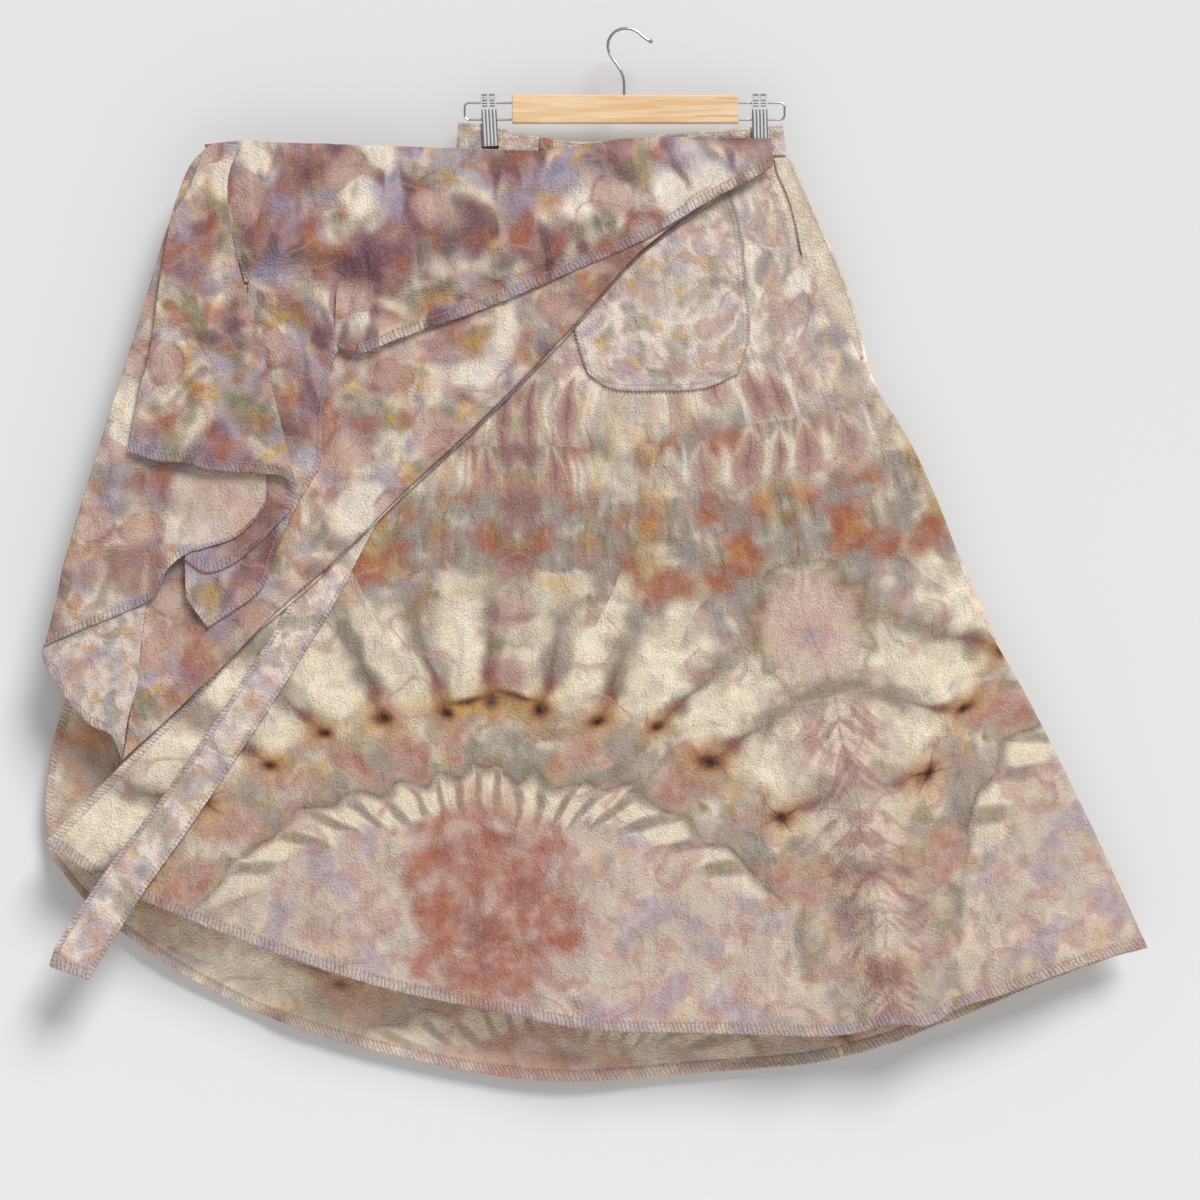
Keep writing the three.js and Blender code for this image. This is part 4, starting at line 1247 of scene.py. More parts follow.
    def _columns(
        self, g: Graph, base: object, phi: Socket, folded: Socket,
        rho: Socket, z: Socket, f: Socket,
    ) -> Socket:
        """What runs down the two fold lines: a rust ladder and a feathered column."""
        w1 = g.mul(g.size_of(g.sub(folded, PHI[0])), rho)
        w2 = g.mul(g.size_of(g.sub(phi, PHI[1])), rho)
        edge = g.noise(f, 22, 14.0, 2.0)
        ragged = g.mul(g.sub(edge, 0.5), 40.0)
        ladder = g.mul(g.step(g.add(w1, ragged), 34.0, 8.0), g.step(z, -745.0, -700.0))
        ladder = g.within(ladder, z, -330.0, -420.0)
        rung = g.math("PINGPONG", g.add(g.math("DIVIDE", rho, 30.0), g.mul(ragged, 0.02)), 1.0)
        c = self._paint(
            g, base,
            (g.within(ladder, rung, 0.0, 0.9), Dye.ROSE, 0.7),
            (g.mul(ladder, g.bell(rung, 0.2)), Dye.OLIVE, 0.5))
        feather = g.mul(g.step(g.add(w2, g.mul(ragged, 1.6)), 80.0, 14.0), g.step(z, -650.0, -740.0))
        barbs = g.noise(g.combine(w2, g.sub(rho, g.mul(w2, 0.9))), 26, 15.0, 2.0, 0.6, (1.8, 0.8))
        c = self._paint(
            g, c,
            (feather, Dye.BLUSH, 0.55),
            (g.within(feather, barbs, 0.40, 0.66), Dye.ROSE, 0.6),
            (g.within(feather, edge, 0.52, 0.70), Dye.PLUM, 0.4))
        dv = g.sub(rho, 1144.0)
        disc = g.math("SQRT", g.add(g.mul(w2, w2), g.mul(g.mul(dv, dv), 0.8)))
        return self._paint(
            g, c,
            (g.step(g.add(disc, g.mul(ragged, 0.6)), 64.0, 36.0), Dye.BLUSH, 0.85),
            (g.bell(g.sub(g.add(disc, g.mul(ragged, 0.8)), 62.0), 7.0), Dye.OLIVE, 0.5),
            (g.step(g.add(disc, ragged), 34.0, 4.0), Dye.PINK, 0.6),
            (g.bell(disc, 7.0), Dye.LILAC, 0.7),
            (g.bell(g.add(w2, g.mul(ragged, 0.08)), 1.2), Dye.PLUM, 0.2))

    def _clouds(self, g: Graph, point: Socket, plum: Value) -> tuple[Socket]:
        """Loose clouds of dye with ringed blotches."""
        q = self._warp(g, point)
        c = self._washes(g, Dye.CREAM.value, q, 21.0)
        less = g.mul(plum, -0.10)
        patch, deep, small = g.noise(q, 84, 35.0, 1.0), g.noise(q, 60, 36.0, 1.0), g.noise(q, 34, 37.0, 1.0)
        c = self._paint(
            g, c,
            (g.step(patch, g.add(0.56, less), g.add(0.74, less)), Dye.ROSE, g.add(0.45, g.mul(plum, 0.3))),
            (g.step(deep, g.add(0.60, less), g.add(0.86, less)), Dye.PLUM, g.add(0.4, g.mul(plum, 0.3))),
            (g.step(small, 0.54, 0.72), Dye.RUST, 0.6),
            (g.step(deep, 0.46, 0.28), Dye.LILAC, 0.65),
            (g.mul(g.step(deep, 0.42, 0.26), g.step(small, 0.50, 0.66)), Dye.BLUE, 0.35),
            (g.step(patch, 0.40, 0.26), Dye.PALE, 0.75))
        smears = g.step(g.noise(q, 26, 39.0, 1.0, 0.5, (1.0, 2.0)), 0.56, 0.76)
        c = self._paint(g, c, (smears, Dye.PLUM, g.add(0.2, g.mul(plum, 0.5))))
        cells = g.node("ShaderNodeTexVoronoi", voronoi_dimensions="2D", feature="F1")
        g.put(cells.inputs["Vector"], g.vector("SCALE", q, scale=1 / 66.0))
        cells.inputs["Scale"].default_value = 1.0
        distance = cells.outputs["Distance"]
        x, z, _ = g.split(cells.outputs["Position"])
        chosen = g.step(g.cell_value(x, z), 0.58, 0.60)
        c = self._paint(
            g, c,
            (g.mul(g.step(distance, 0.40, 0.22), chosen), Dye.PINK, 0.7),
            (g.mul(g.step(distance, 0.28, 0.05), chosen), Dye.BLUSH, 0.4))
        ring = g.mul(g.mul(g.bell(g.sub(distance, 0.33), 0.045), chosen), g.step(small, 0.38, 0.60))
        c = self._paint(g, c, (ring, Dye.ROSE, 0.55))
        return (self._tides(g, c, q, 31.0),)


class CottonFace:
    """A node group for what every cotton face shares: yarn tone, speckle, crepe relief and painted shade that follows
    the crumples.
    """

    def tree(self) -> bpy.types.NodeTree:
        """The cotton's node group, made once.

        Returns:
            A group from Point, Colour, Light, Warm and Shade to Colour and Height.
        """
        return shared_group(
            "cotton_face",
            (("Point", "NodeSocketVector"), ("Colour", "NodeSocketColor"), ("Light", "NodeSocketFloat"),
             ("Warm", "NodeSocketFloat"), ("Shade", "NodeSocketFloat")),
            (("Colour", "NodeSocketColor"), ("Height", "NodeSocketFloat")), self._fill)

    def _fill(
        self, g: Graph, point: Socket, colour: Socket, light: Value, warm: Value,
        shade: Value,
    ) -> tuple[Socket, Socket]:
        """Fills the group."""
        speckle = g.noise(point, 6, 54.0, 1.0, 0.6)
        yarn = g.noise(point, 1.7, 51.0, 0.0)
        crumple_relief_and_shade = g.noise(point, 11, 62.0, 2.0, 0.55, (1.0, 1.5))
        c = g.mix(light, colour, Dye.CREAM.value)
        c = g.mix(g.mul(g.step(g.noise(point, 90, 55.0, 0.0), 0.40, 0.62), warm), c, Dye.RUST.value)
        c = g.mix(g.mul(g.step(speckle, 0.46, 0.25), 0.14), c, Dye.LILAC.value)
        c = g.mix(g.mul(g.step(speckle, 0.50, 0.72), 0.12), c, Dye.BLUSH.value)
        # Painted shade: the colour darkens where the crumple relief is low; the yarn share is random tone.
        tone_and_crumple_shade = g.add(g.add(0.88, g.mul(g.step(yarn, 0.25, 0.75), 0.16)), g.mul(g.step(crumple_relief_and_shade, 0.25, 0.75), 0.10))
        deepened = g.node("ShaderNodeGamma")
        g.put(deepened.inputs[0], g.vector("SCALE", c, scale=g.mul(tone_and_crumple_shade, g.sub(1.0, shade))))
        deepened.inputs[1].default_value = 1.26
        soft = g.noise(point, 34, 63.0, 0.0, 0.5, (0.8, 1.4))
        crepe = g.noise(point, 2.4, 61.0, 0.0)
        height = g.add(g.add(g.mul(crepe, 0.9), g.mul(crumple_relief_and_shade, 2.2)), g.mul(soft, 5.0))
        return deepened.outputs[0], height


@dataclass(frozen=True)
class Finish:
    """What every finish shares: one material for each name.

    Attributes:
        name: Material name.
    """

    name: str

    def material(self) -> Material:
        """Makes the material the first time, and gives the same one after that.

        Returns:
            The material.
        """
        made = bpy.data.materials.get(self.name)
        if not made:
            made = bpy.data.materials.new(self.name)
            made.use_nodes = True
            self._fill(Graph(made.node_tree), made.node_tree.nodes["Principled BSDF"])
        return made

    def _fill(self, g: Graph, shader: bpy.types.Node) -> None:
        """Sets the shader up."""
        raise NotImplementedError


@dataclass(frozen=True)
class DyedCotton(Finish):
    """Brushed cotton, ice-dyed after folding. Reads the piece's own map, in metres of cloth.

    Attributes:
        pattern: Which folding.
        shift: Offset in the cloth, mm.
        turn: Turn of the pattern in degrees.
        plum: Share of plum and rust patches.
        light: Share of cream that lifts the whole.
        warm: Share of rust in wide patches.
        shade: Darkening of a face that is the reverse; below 0 the cloth is paler, which is painted light for cloth
            that lies in shadow.
        hem: True for a stitched hem band, which carries ticks along its map.
        pale: Middle and radius in mm of a patch where the paler inside of the cloth shows.
    """

    pattern: Pattern
    shift: tuple[float, float] = (0.0, 0.0)
    turn: float = 0.0
    plum: float = 0.5
    light: float = 0.0
    warm: float = 0.0
    shade: float = 0.0
    hem: bool = False
    pale: Vec3 | None = None

    def _fill(self, g: Graph, shader: bpy.types.Node) -> None:
        """Sets the shader up."""
        cloth_map = g.node("ShaderNodeUVMap", uv_map="cloth").outputs[0]
        plain = g.vector("SCALE", cloth_map, scale=1000.0)
        turned = g.node("ShaderNodeVectorRotate", rotation_type="Z_AXIS")
        g.fill(turned, {"Vector": plain, "Angle": math.radians(self.turn)})
        point = g.vector("ADD", turned.outputs[0], (*self.shift, 0.0))
        pattern = g.group(DyePattern(self.pattern).tree(), point, self.plum)
        colour = pattern.outputs[0]
        if self.pale:
            away = g.vector("LENGTH", g.vector("SUBTRACT", plain, (*self.pale[:2], 0.0)))
            patch = g.step(away, self.pale[2] * 1.25, self.pale[2] * 0.75)
            colour = g.mix(g.mul(patch, 0.6), colour, Dye.BLUSH.value)
        face = g.group(CottonFace().tree(), plain, colour, self.light, self.warm, self.shade)
        colour, height = face.outputs[0], face.outputs[1]
        if self.hem:
            colour, height = self._ticks(g, colour, height)
        g.bump(shader, height, 1.0, MM)
        g.fill(shader, {"Base Color": colour, "Roughness": 0.92, "Specular IOR Level": 0.15,
                        "Sheen Weight": 0.06, "Sheen Roughness": 0.6})

    def _ticks(
        self, g: Graph, colour: Socket, height: Socket,
    ) -> tuple[Socket, Socket]:
        """The drawn-up ticks across a stitched hem, sunk in the relief and darkened with painted shade in their dips.
        The hem map is length and width in metres.
        """
        hem_map = g.node("ShaderNodeUVMap", uv_map="hem").outputs[0]
        along = g.vector("SCALE", hem_map, scale=1000.0)
        s, w, _ = g.split(along)
        wander = g.mul(g.noise(along, 9, 71.0, 1.0), 5.0)
        wave = g.math("SINE", g.mul(g.add(g.add(s, g.mul(w, 0.35)), wander), 2 * math.pi / 4.6))
        tick_dip_and_shade = g.step(wave, 0.2, 0.95)
        hue = g.step(g.noise(along, 26, 72.0, 1.0), 0.4, 0.6)
        c = g.mix(g.mul(hue, 0.3), colour, Dye.LILAC.value)
        # Painted shade: each tick is darkened towards plum where its relief dips.
        c = g.mix(g.mul(tick_dip_and_shade, 0.2), c, Dye.PLUM.value)
        return c, g.sub(height, g.mul(tick_dip_and_shade, 0.8))


@dataclass(frozen=True)
class Thread(Finish):
    """Sewing thread.

    Attributes:
        colour: Colour of the thread.
    """

    colour: Colour

    def _fill(self, g: Graph, shader: bpy.types.Node) -> None:
        """Sets the shader up."""
        shade = g.step(g.noise(g.object_mm(), 3.0, 5.0, 2.0), 0.3, 0.7)
        tint = g.mix(g.mul(shade, 0.4), self.colour, Dye.LILAC.value)
        g.fill(shader, {"Base Color": tint, "Roughness": 0.75})


@dataclass(frozen=True)
class Pine(Finish):
    """Lacquered pine with straight grain along X."""

    name: str = "pine"

    def _fill(self, g: Graph, shader: bpy.types.Node) -> None:
        """Sets the shader up."""
        x, y, z = g.split(g.object_mm())
        flat = g.combine(x, g.add(z, g.mul(y, 0.7)))
        rings = g.noise(flat, 7.0, 1.0, 3.0, 0.5, (16.0, 1.0))
        fine = g.noise(flat, 1.3, 2.0, 2.0, 0.5, (30.0, 1.0))
        c = g.mix(g.step(rings, 0.35, 0.7), srgb(243, 211, 170), srgb(228, 187, 138))
        c = g.mix(g.mul(g.step(fine, 0.45, 0.75), 0.3), c, srgb(196, 146, 96))
        # Two fine cracks by the right end: cell, seed, drop, where one starts and where it is full.
        cracks = []
        for cell, seed, drop, start, full in ((20, 3.0, 74.5, 88.0, 100.0), (22, 4.0, 93.0, 60.0, 80.0)):
            line = g.sub(g.add(z, drop), g.mul(g.noise(flat, cell, seed), 3.0))
            cracks.append(g.mul(g.bell(line, 0.5), g.step(x, start, full)))
        c = g.mix(g.mul(g.math("MAXIMUM", *cracks), 0.7), c, srgb(150, 96, 56))
        g.fill(shader, {"Base Color": c, "Roughness": 0.5, "Coat Weight": 0.15})
        g.bump(shader, fine, 0.2, 0.5 * MM)


# The clips' jaws: drop of their middle, and the pitch of their grooves and of their slots.
JAW_DROP = 67.5
GROOVE_PITCH = 3.7
SLOT_PITCH = 2.9


@dataclass(frozen=True)
class Steel(Finish):
    """Plated steel.

    Attributes:
        tone_and_crumple_shade: Base colour.
        roughness: Mean roughness.
        metallic: Share of bare metal under the satin plating.
        ribs: Middle across in mm and lean of a jaw whose grooves and slots get painted shade.
    """

    tone_and_crumple_shade: Colour
    roughness: float
    metallic: float = 1.0
    ribs: tuple[float, float] | None = None

    def _fill(self, g: Graph, shader: bpy.types.Node) -> None:
        """Sets the shader up."""
        place = g.object_mm()
        wear = g.step(g.noise(place, 9.0, 6.0, 3.0), 0.35, 0.75)
        colour = g.mix(g.mul(wear, 0.2), self.tone_and_crumple_shade, srgb(120, 120, 122))
        if self.ribs:
            x, _, z = g.split(place)
            down = g.add(z, JAW_DROP)
            across = g.sub(g.sub(x, self.ribs[0]), g.mul(down, self.ribs[1]))
            # Painted shade: the jaw's grooves and slots are darkened in its colour, as though shade fell in them.
            groove_shade = g.math("COSINE", g.mul(across, 2 * math.pi / GROOVE_PITCH))
            groove_shade = g.mul(g.step(groove_shade, -0.1, 0.6), g.step(down, -16.0, -17.5))
            rows = g.step(g.math("COSINE", g.mul(g.add(down, 4.6), 2 * math.pi / SLOT_PITCH)), 0.0, 0.5)
            beside = g.size_of(g.sub(g.size_of(across), 3.9))
            slot_shade = g.mul(g.within(rows, beside, 3.0, 2.6), g.step(down, -15.4, -14.8))
            colour = g.mix(g.mul(groove_shade, 0.8), colour, srgb(64, 62, 62))
            colour = g.mix(g.mul(slot_shade, 0.9), colour, srgb(40, 36, 36))
        rough = g.add(self.roughness, g.mul(wear, 0.14))
        g.fill(shader, {"Base Color": colour, "Roughness": rough, "Metallic": self.metallic})


@dataclass(frozen=True)
class Plain(Finish):
    """A plain finish for rubber, or for the wall and floor.

    Attributes:
        colour: Base colour.
        roughness: Roughness.
        one_sided: True for a wall that isn't seen from behind and lets the room's light reach what hangs by it.
    """

    colour: Colour
    roughness: float = 0.9
    one_sided: bool = False

    def _fill(self, g: Graph, shader: bpy.types.Node) -> None:
        """Sets the shader up."""
        g.fill(shader, {"Base Color": self.colour, "Roughness": self.roughness, "Specular IOR Level": 0.2})
        if self.one_sided:
            clear = g.node("ShaderNodeBsdfTransparent")
            pick = g.node("ShaderNodeMixShader")
            behind = g.node("ShaderNodeNewGeometry").outputs["Backfacing"]
            bounced = g.node("ShaderNodeLightPath").outputs["Is Diffuse Ray"]
            sources = (g.math("MAXIMUM", behind, bounced), shader.outputs[0], clear.outputs[0])
            for socket, source in zip(pick.inputs, sources):
                g.put(socket, source)
            g.put(g.tree.nodes["Material Output"].inputs["Surface"], pick.outputs[0])


# ------------------------------------------------------------------ meshes

def mesh_object(
    name: str, points: Array, faces: Sequence[Sequence[int]], maps: dict[str, Array], material: Material,
) -> Piece:
    """Makes a smooth mesh object.

    Args:
        name: Object name.
        points: Points in millimetres, x, y, z.
        faces: Vertex numbers of each face.
        maps: UV maps, a row for each vertex, in metres.
        material: Its finish.

    Returns:
        The object, linked to the scene.
    """
    mesh = bpy.data.meshes.new(name)
    mesh.from_pydata((points * MM).tolist(), [], faces)
    mesh.validate()
    corner = np.zeros(len(mesh.loops), np.int32)
    mesh.loops.foreach_get("vertex_index", corner)
    for key, rows in maps.items():
        layer = mesh.uv_layers.new(name=key)
        layer.data.foreach_set("uv", rows[corner].astype(np.float32).ravel())
    mesh.polygons.foreach_set("use_smooth", [True] * len(mesh.polygons))
    mesh.materials.append(material)
    made = bpy.data.objects.new(name, mesh)
    bpy.context.scene.collection.objects.link(made)
    return made


class Side(Enum):
    """The edges of a stretch."""

    TOP = "top"
    BOTTOM = "bottom"
    LEFT = "left"
    RIGHT = "right"


@dataclass
class Stretch:
    """One stretch of cloth: a thin shell over a surface.

    Attributes:
        name: Piece name.
        node: CAD node that it stands for.
        place: Where (u, v) lies in the hanging plane.
        depth: The y of each point.
        grid: Panels across and down.
        finish: Its cloth.
        slot: Name of a material slot; not used.
        flat: Width and length of the cut in metres; not used.
        area: Flat area in square metres; not used.
        rests_on: What it hangs from or lies on; not used.
        gathered: True to crowd the grid towards both side edges.
        trims: Hems and stitching made for it.
        shown: The object, once built.
    """

    name: str
    node: str
    place: Place
    depth: Depth
    grid: tuple[int, int]
    finish: DyedCotton
    slot: str
    flat: tuple[float, float]
    area: float
    rests_on: tuple[str, ...]
    gathered: bool = False
    trims: list[Piece] = field(default_factory=list)
    shown: Piece | None = None

    def surface(self, u: Array, v: Array) -> Array:
        """Points of the middle of the cloth.

        Args:
            u: Shares across.
            v: Shares downwards.

        Returns:
            Array with last axis x, y, z in millimetres.
        """
        at = self.place(u, v)
        x, drop = at[..., 0], at[..., 1]
        y = self.depth(np.clip(u, 0, 1), np.clip(v, 0, 1), x, drop)
        return np.stack([x, y, -drop], -1)

    def normal(self, u: Array, v: Array) -> Array:
        """Unit normals towards the viewer.

        Args:
            u: Shares across.
            v: Shares downwards.

        Returns:
            Array with last axis x, y, z.
        """
        e = 0.004
        right = self.surface(u + e, v) - self.surface(u - e, v)
        up = self.surface(u, v - e) - self.surface(u, v + e)
        n = np.cross(right, up)
        return n / np.maximum(np.linalg.norm(n, axis=-1, keepdims=True), 1e-9)

    def build(self) -> Piece:
        """Makes the shell.

        Returns:
            The object.
        """
        across, down = self.grid
        us, vs = np.linspace(0, 1, across + 1), np.linspace(0, 1, down + 1)
        if self.gathered:
            us = 0.5 - 0.5 * np.sin(np.pi * (0.5 - us))
        u, v = np.meshgrid(us, vs)
        middle, n = self.surface(u, v), self.normal(u, v)
        front = (middle + n * CLOTH / 2).reshape(-1, 3)
        back = (middle - n * CLOTH / 2).reshape(-1, 3)
        cols, count = across + 1, front.shape[0]
        faces: list[tuple[int, ...]] = []
        for j in range(down):
            for i in range(across):
                a = j * cols + i
                faces.append((a, a + cols, a + cols + 1, a + 1))
                faces.append((count + a, count + a + 1, count + a + cols + 1, count + a + cols))
        ring = list(range(cols)) + [j * cols + across for j in range(1, down + 1)]
        ring += [down * cols + i for i in range(across - 1, -1, -1)] + [j * cols for j in range(down - 1, 0, -1)]
        for a, b in zip(ring, ring[1:] + ring[:1]):
            faces.append((a, b, count + b, count + a))
        points = np.vstack([front, back])
        flat = np.stack([points[:, 0], points[:, 2]], -1) * MM
        self.shown = mesh_object(self.name, points, faces, {"cloth": flat}, self.finish.material())
        return self.shown

    def declare(self) -> None:
        """Parents the piece and its trims to the root body, hides the CAD node it stands for and logs their faces,
        once its trims are made.
        """
        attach(self.shown, "root")
        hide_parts(self.node)
        for trim in self.trims:
            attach(trim, "root")
        for piece in (self.shown, *self.trims):
            LOG.info("%s: %d faces", piece.name, len(piece.data.polygons))


@dataclass
class Trim:
    """What runs along an edge of a stretch.

    Attributes:
        stretch: The cloth it is on.
        side: Which edge.
        start: Share of the edge where it starts.
        end: Share of the edge where it ends.
    """

    stretch: Stretch
    side: Side
    start: float = 0.0
    end: float = 1.0

    def _line(self, step: float) -> tuple[Array, Array]:
        """Even shares along the edge and the lengths to them."""
        t = np.linspace(self.start, self.end, 400)
        at = self._at(t, np.zeros_like(t))[0]
        lengths = np.concatenate([[0], np.cumsum(np.linalg.norm(np.diff(at, axis=0), axis=1))])
        count = max(2, int(lengths[-1] / step))
        s = np.linspace(0, lengths[-1], count + 1)
        return np.interp(s, lengths, t), s

    def _at(self, t: Array, inset: Array) -> tuple[Array, Array]:
        """Surface points and normals at an inset from the edge, in millimetres."""
        e = 0.01
        edge, sign = (0.0, 1) if self.side in (Side.TOP, Side.LEFT) else (1.0, -1)
        order = 1 if self.side in (Side.TOP, Side.BOTTOM) else -1
        rim, within = (self.stretch.place(*(t, np.full_like(t, at))[::order]) for at in (edge, edge + sign * e))
        size = np.linalg.norm(rim - within, axis=-1) / e
        u, v = (t, edge + sign * inset / size)[::order]
        return self.stretch.surface(u, v), self.stretch.normal(u, v)


@dataclass
class Hem(Trim):
    """A folded and stitched hem, drawn up into small puckers.

    Attributes:
        width: Width of the band.
        pucker: Height of the puckers.
        label: Ending of the piece's name.
    """

    width: float = 12.0
    pucker: float = 0.4
    label: str = "hem"

    def build(self) -> Piece:
        """Makes the band as one closed body round the edge.

        Returns:
            The object.
        """
        t, s = self._line(2.0)
        w = self.width
        k = min(1.0, w / 8)
        profile = np.array([
            (-0.9, 0.0), (-0.7, 0.75), (0.2, 1.15), (2.0 * k, 1.2), (w * 0.45, 1.1), (w - 3.2 * k, 1.1),
            (w - 1.9 * k, 0.78), (w - 0.8 * k, 1.0), (w, 0.72), (w, 0.1), (0.3, -0.1), (-0.2, -0.75),
        ])
        inset = np.broadcast_to(profile[:, 0], (len(t), len(profile)))
        tt = np.broadcast_to(t[:, None], inset.shape)
        ss = np.broadcast_to(s[:, None], inset.shape)
        rise = np.broadcast_to(profile[:, 1], inset.shape).copy()
        drawn = np.sin(2 * np.pi * (ss + 0.35 * inset + 2.4 * ripple(ss / 11, inset * 0, 7)) / 6.4)
        where = np.exp(-(((inset - (w - 4)) / (w * 0.45)) ** 2)) * (rise > 0.6)
        rise += self.pucker * drawn * where
        inset = inset + 0.35 * ripple(ss / 7, inset * 0, 9) * (profile[:, 0] < 0)
        at, n = self._at(tt, inset)
        shell = at + n * rise[..., None]
        rows, cols = inset.shape
        faces = []
        for j in range(rows - 1):
            for i in range(cols):
                a, b = j * cols + i, j * cols + (i + 1) % cols
                faces.append((a, b, b + cols, a + cols))
        faces.append(tuple(range(cols - 1, -1, -1)))
        faces.append(tuple((rows - 1) * cols + i for i in range(cols)))
        points = shell.reshape(-1, 3)
        flat = np.stack([points[:, 0], points[:, 2]], -1) * MM
        hem_map = np.stack([ss.ravel(), inset.ravel()], -1) * MM
        base = self.stretch.finish
        finish = replace(base, name=base.name + "_hem", hem=True, pale=None)
        made = mesh_object(
            f"{self.stretch.name}_{self.label}_{self.side.value}", points, faces,
            {"cloth": flat, "hem": hem_map}, finish.material())
        self.stretch.trims.append(made)
        return made


@dataclass
class Stitches(Trim):
    """A row of machine stitches along an edge.

    Attributes:
        label: Ending of the piece's name.
        inset: Distance from the edge.
        length: Length of a stitch.
        pitch: From one stitch to the next.
        lean: How far each stitch crosses the line, for overlocking.
        rise: Height over the cloth's middle.
        gauge: Thickness of the thread.
        thread: Its finish.
    """

    label: str = "stitches"
    inset: float = 10.0
    length: float = 2.4
    pitch: float = 3.3
    lean: float = 0.0
    rise: float = 1.15
    gauge: float = 0.45
    thread: Thread = Thread("thread_pale", srgb(208, 192, 184))

    def build(self) -> Piece:
        """Makes the stitches as one mesh.

        Returns:
            The object.
        """
        t, _ = self._line(self.pitch)
        middle = (t[:-1] + t[1:]) / 2
        share = self.length / self.pitch / 2
        half = (t[1:] - t[:-1]) * share
        flip = np.where(np.arange(len(middle)) % 2 == 0, 1.0, -1.0) if self.lean else np.zeros(len(middle))
        a, na = self._at(middle - half, self.inset - flip * self.lean)
        b, nb = self._at(middle + half, self.inset + flip * self.lean)
        way = b - a
        way /= np.maximum(np.linalg.norm(way, axis=1, keepdims=True), 1e-9)
        points, faces = [], []
        corners = ((-1, -0.4), (1, -0.4), (0.6, 0.6), (-0.6, 0.6))
        for i in range(len(middle)):
            across = np.cross(way[i], na[i])
            first = len(points)
            for at, n in ((a[i], na[i]), (b[i], nb[i])):
                for p, q in corners:
                    points.append(at + n * (self.rise + q * self.gauge) + across * p * self.gauge * 0.6)
            for k in range(4):
                m = (k + 1) % 4
                faces.append((first + k, first + m, first + 4 + m, first + 4 + k))
            faces.append((first + 3, first + 2, first + 1, first))
            faces.append((first + 4, first + 5, first + 6, first + 7))
        made = mesh_object(
            f"{self.stretch.name}_{self.label}_{self.side.value}", np.array(points), faces, {}, self.thread.material())
        self.stretch.trims.append(made)
        return made


# ------------------------------------------------------------------ sub-assemblies

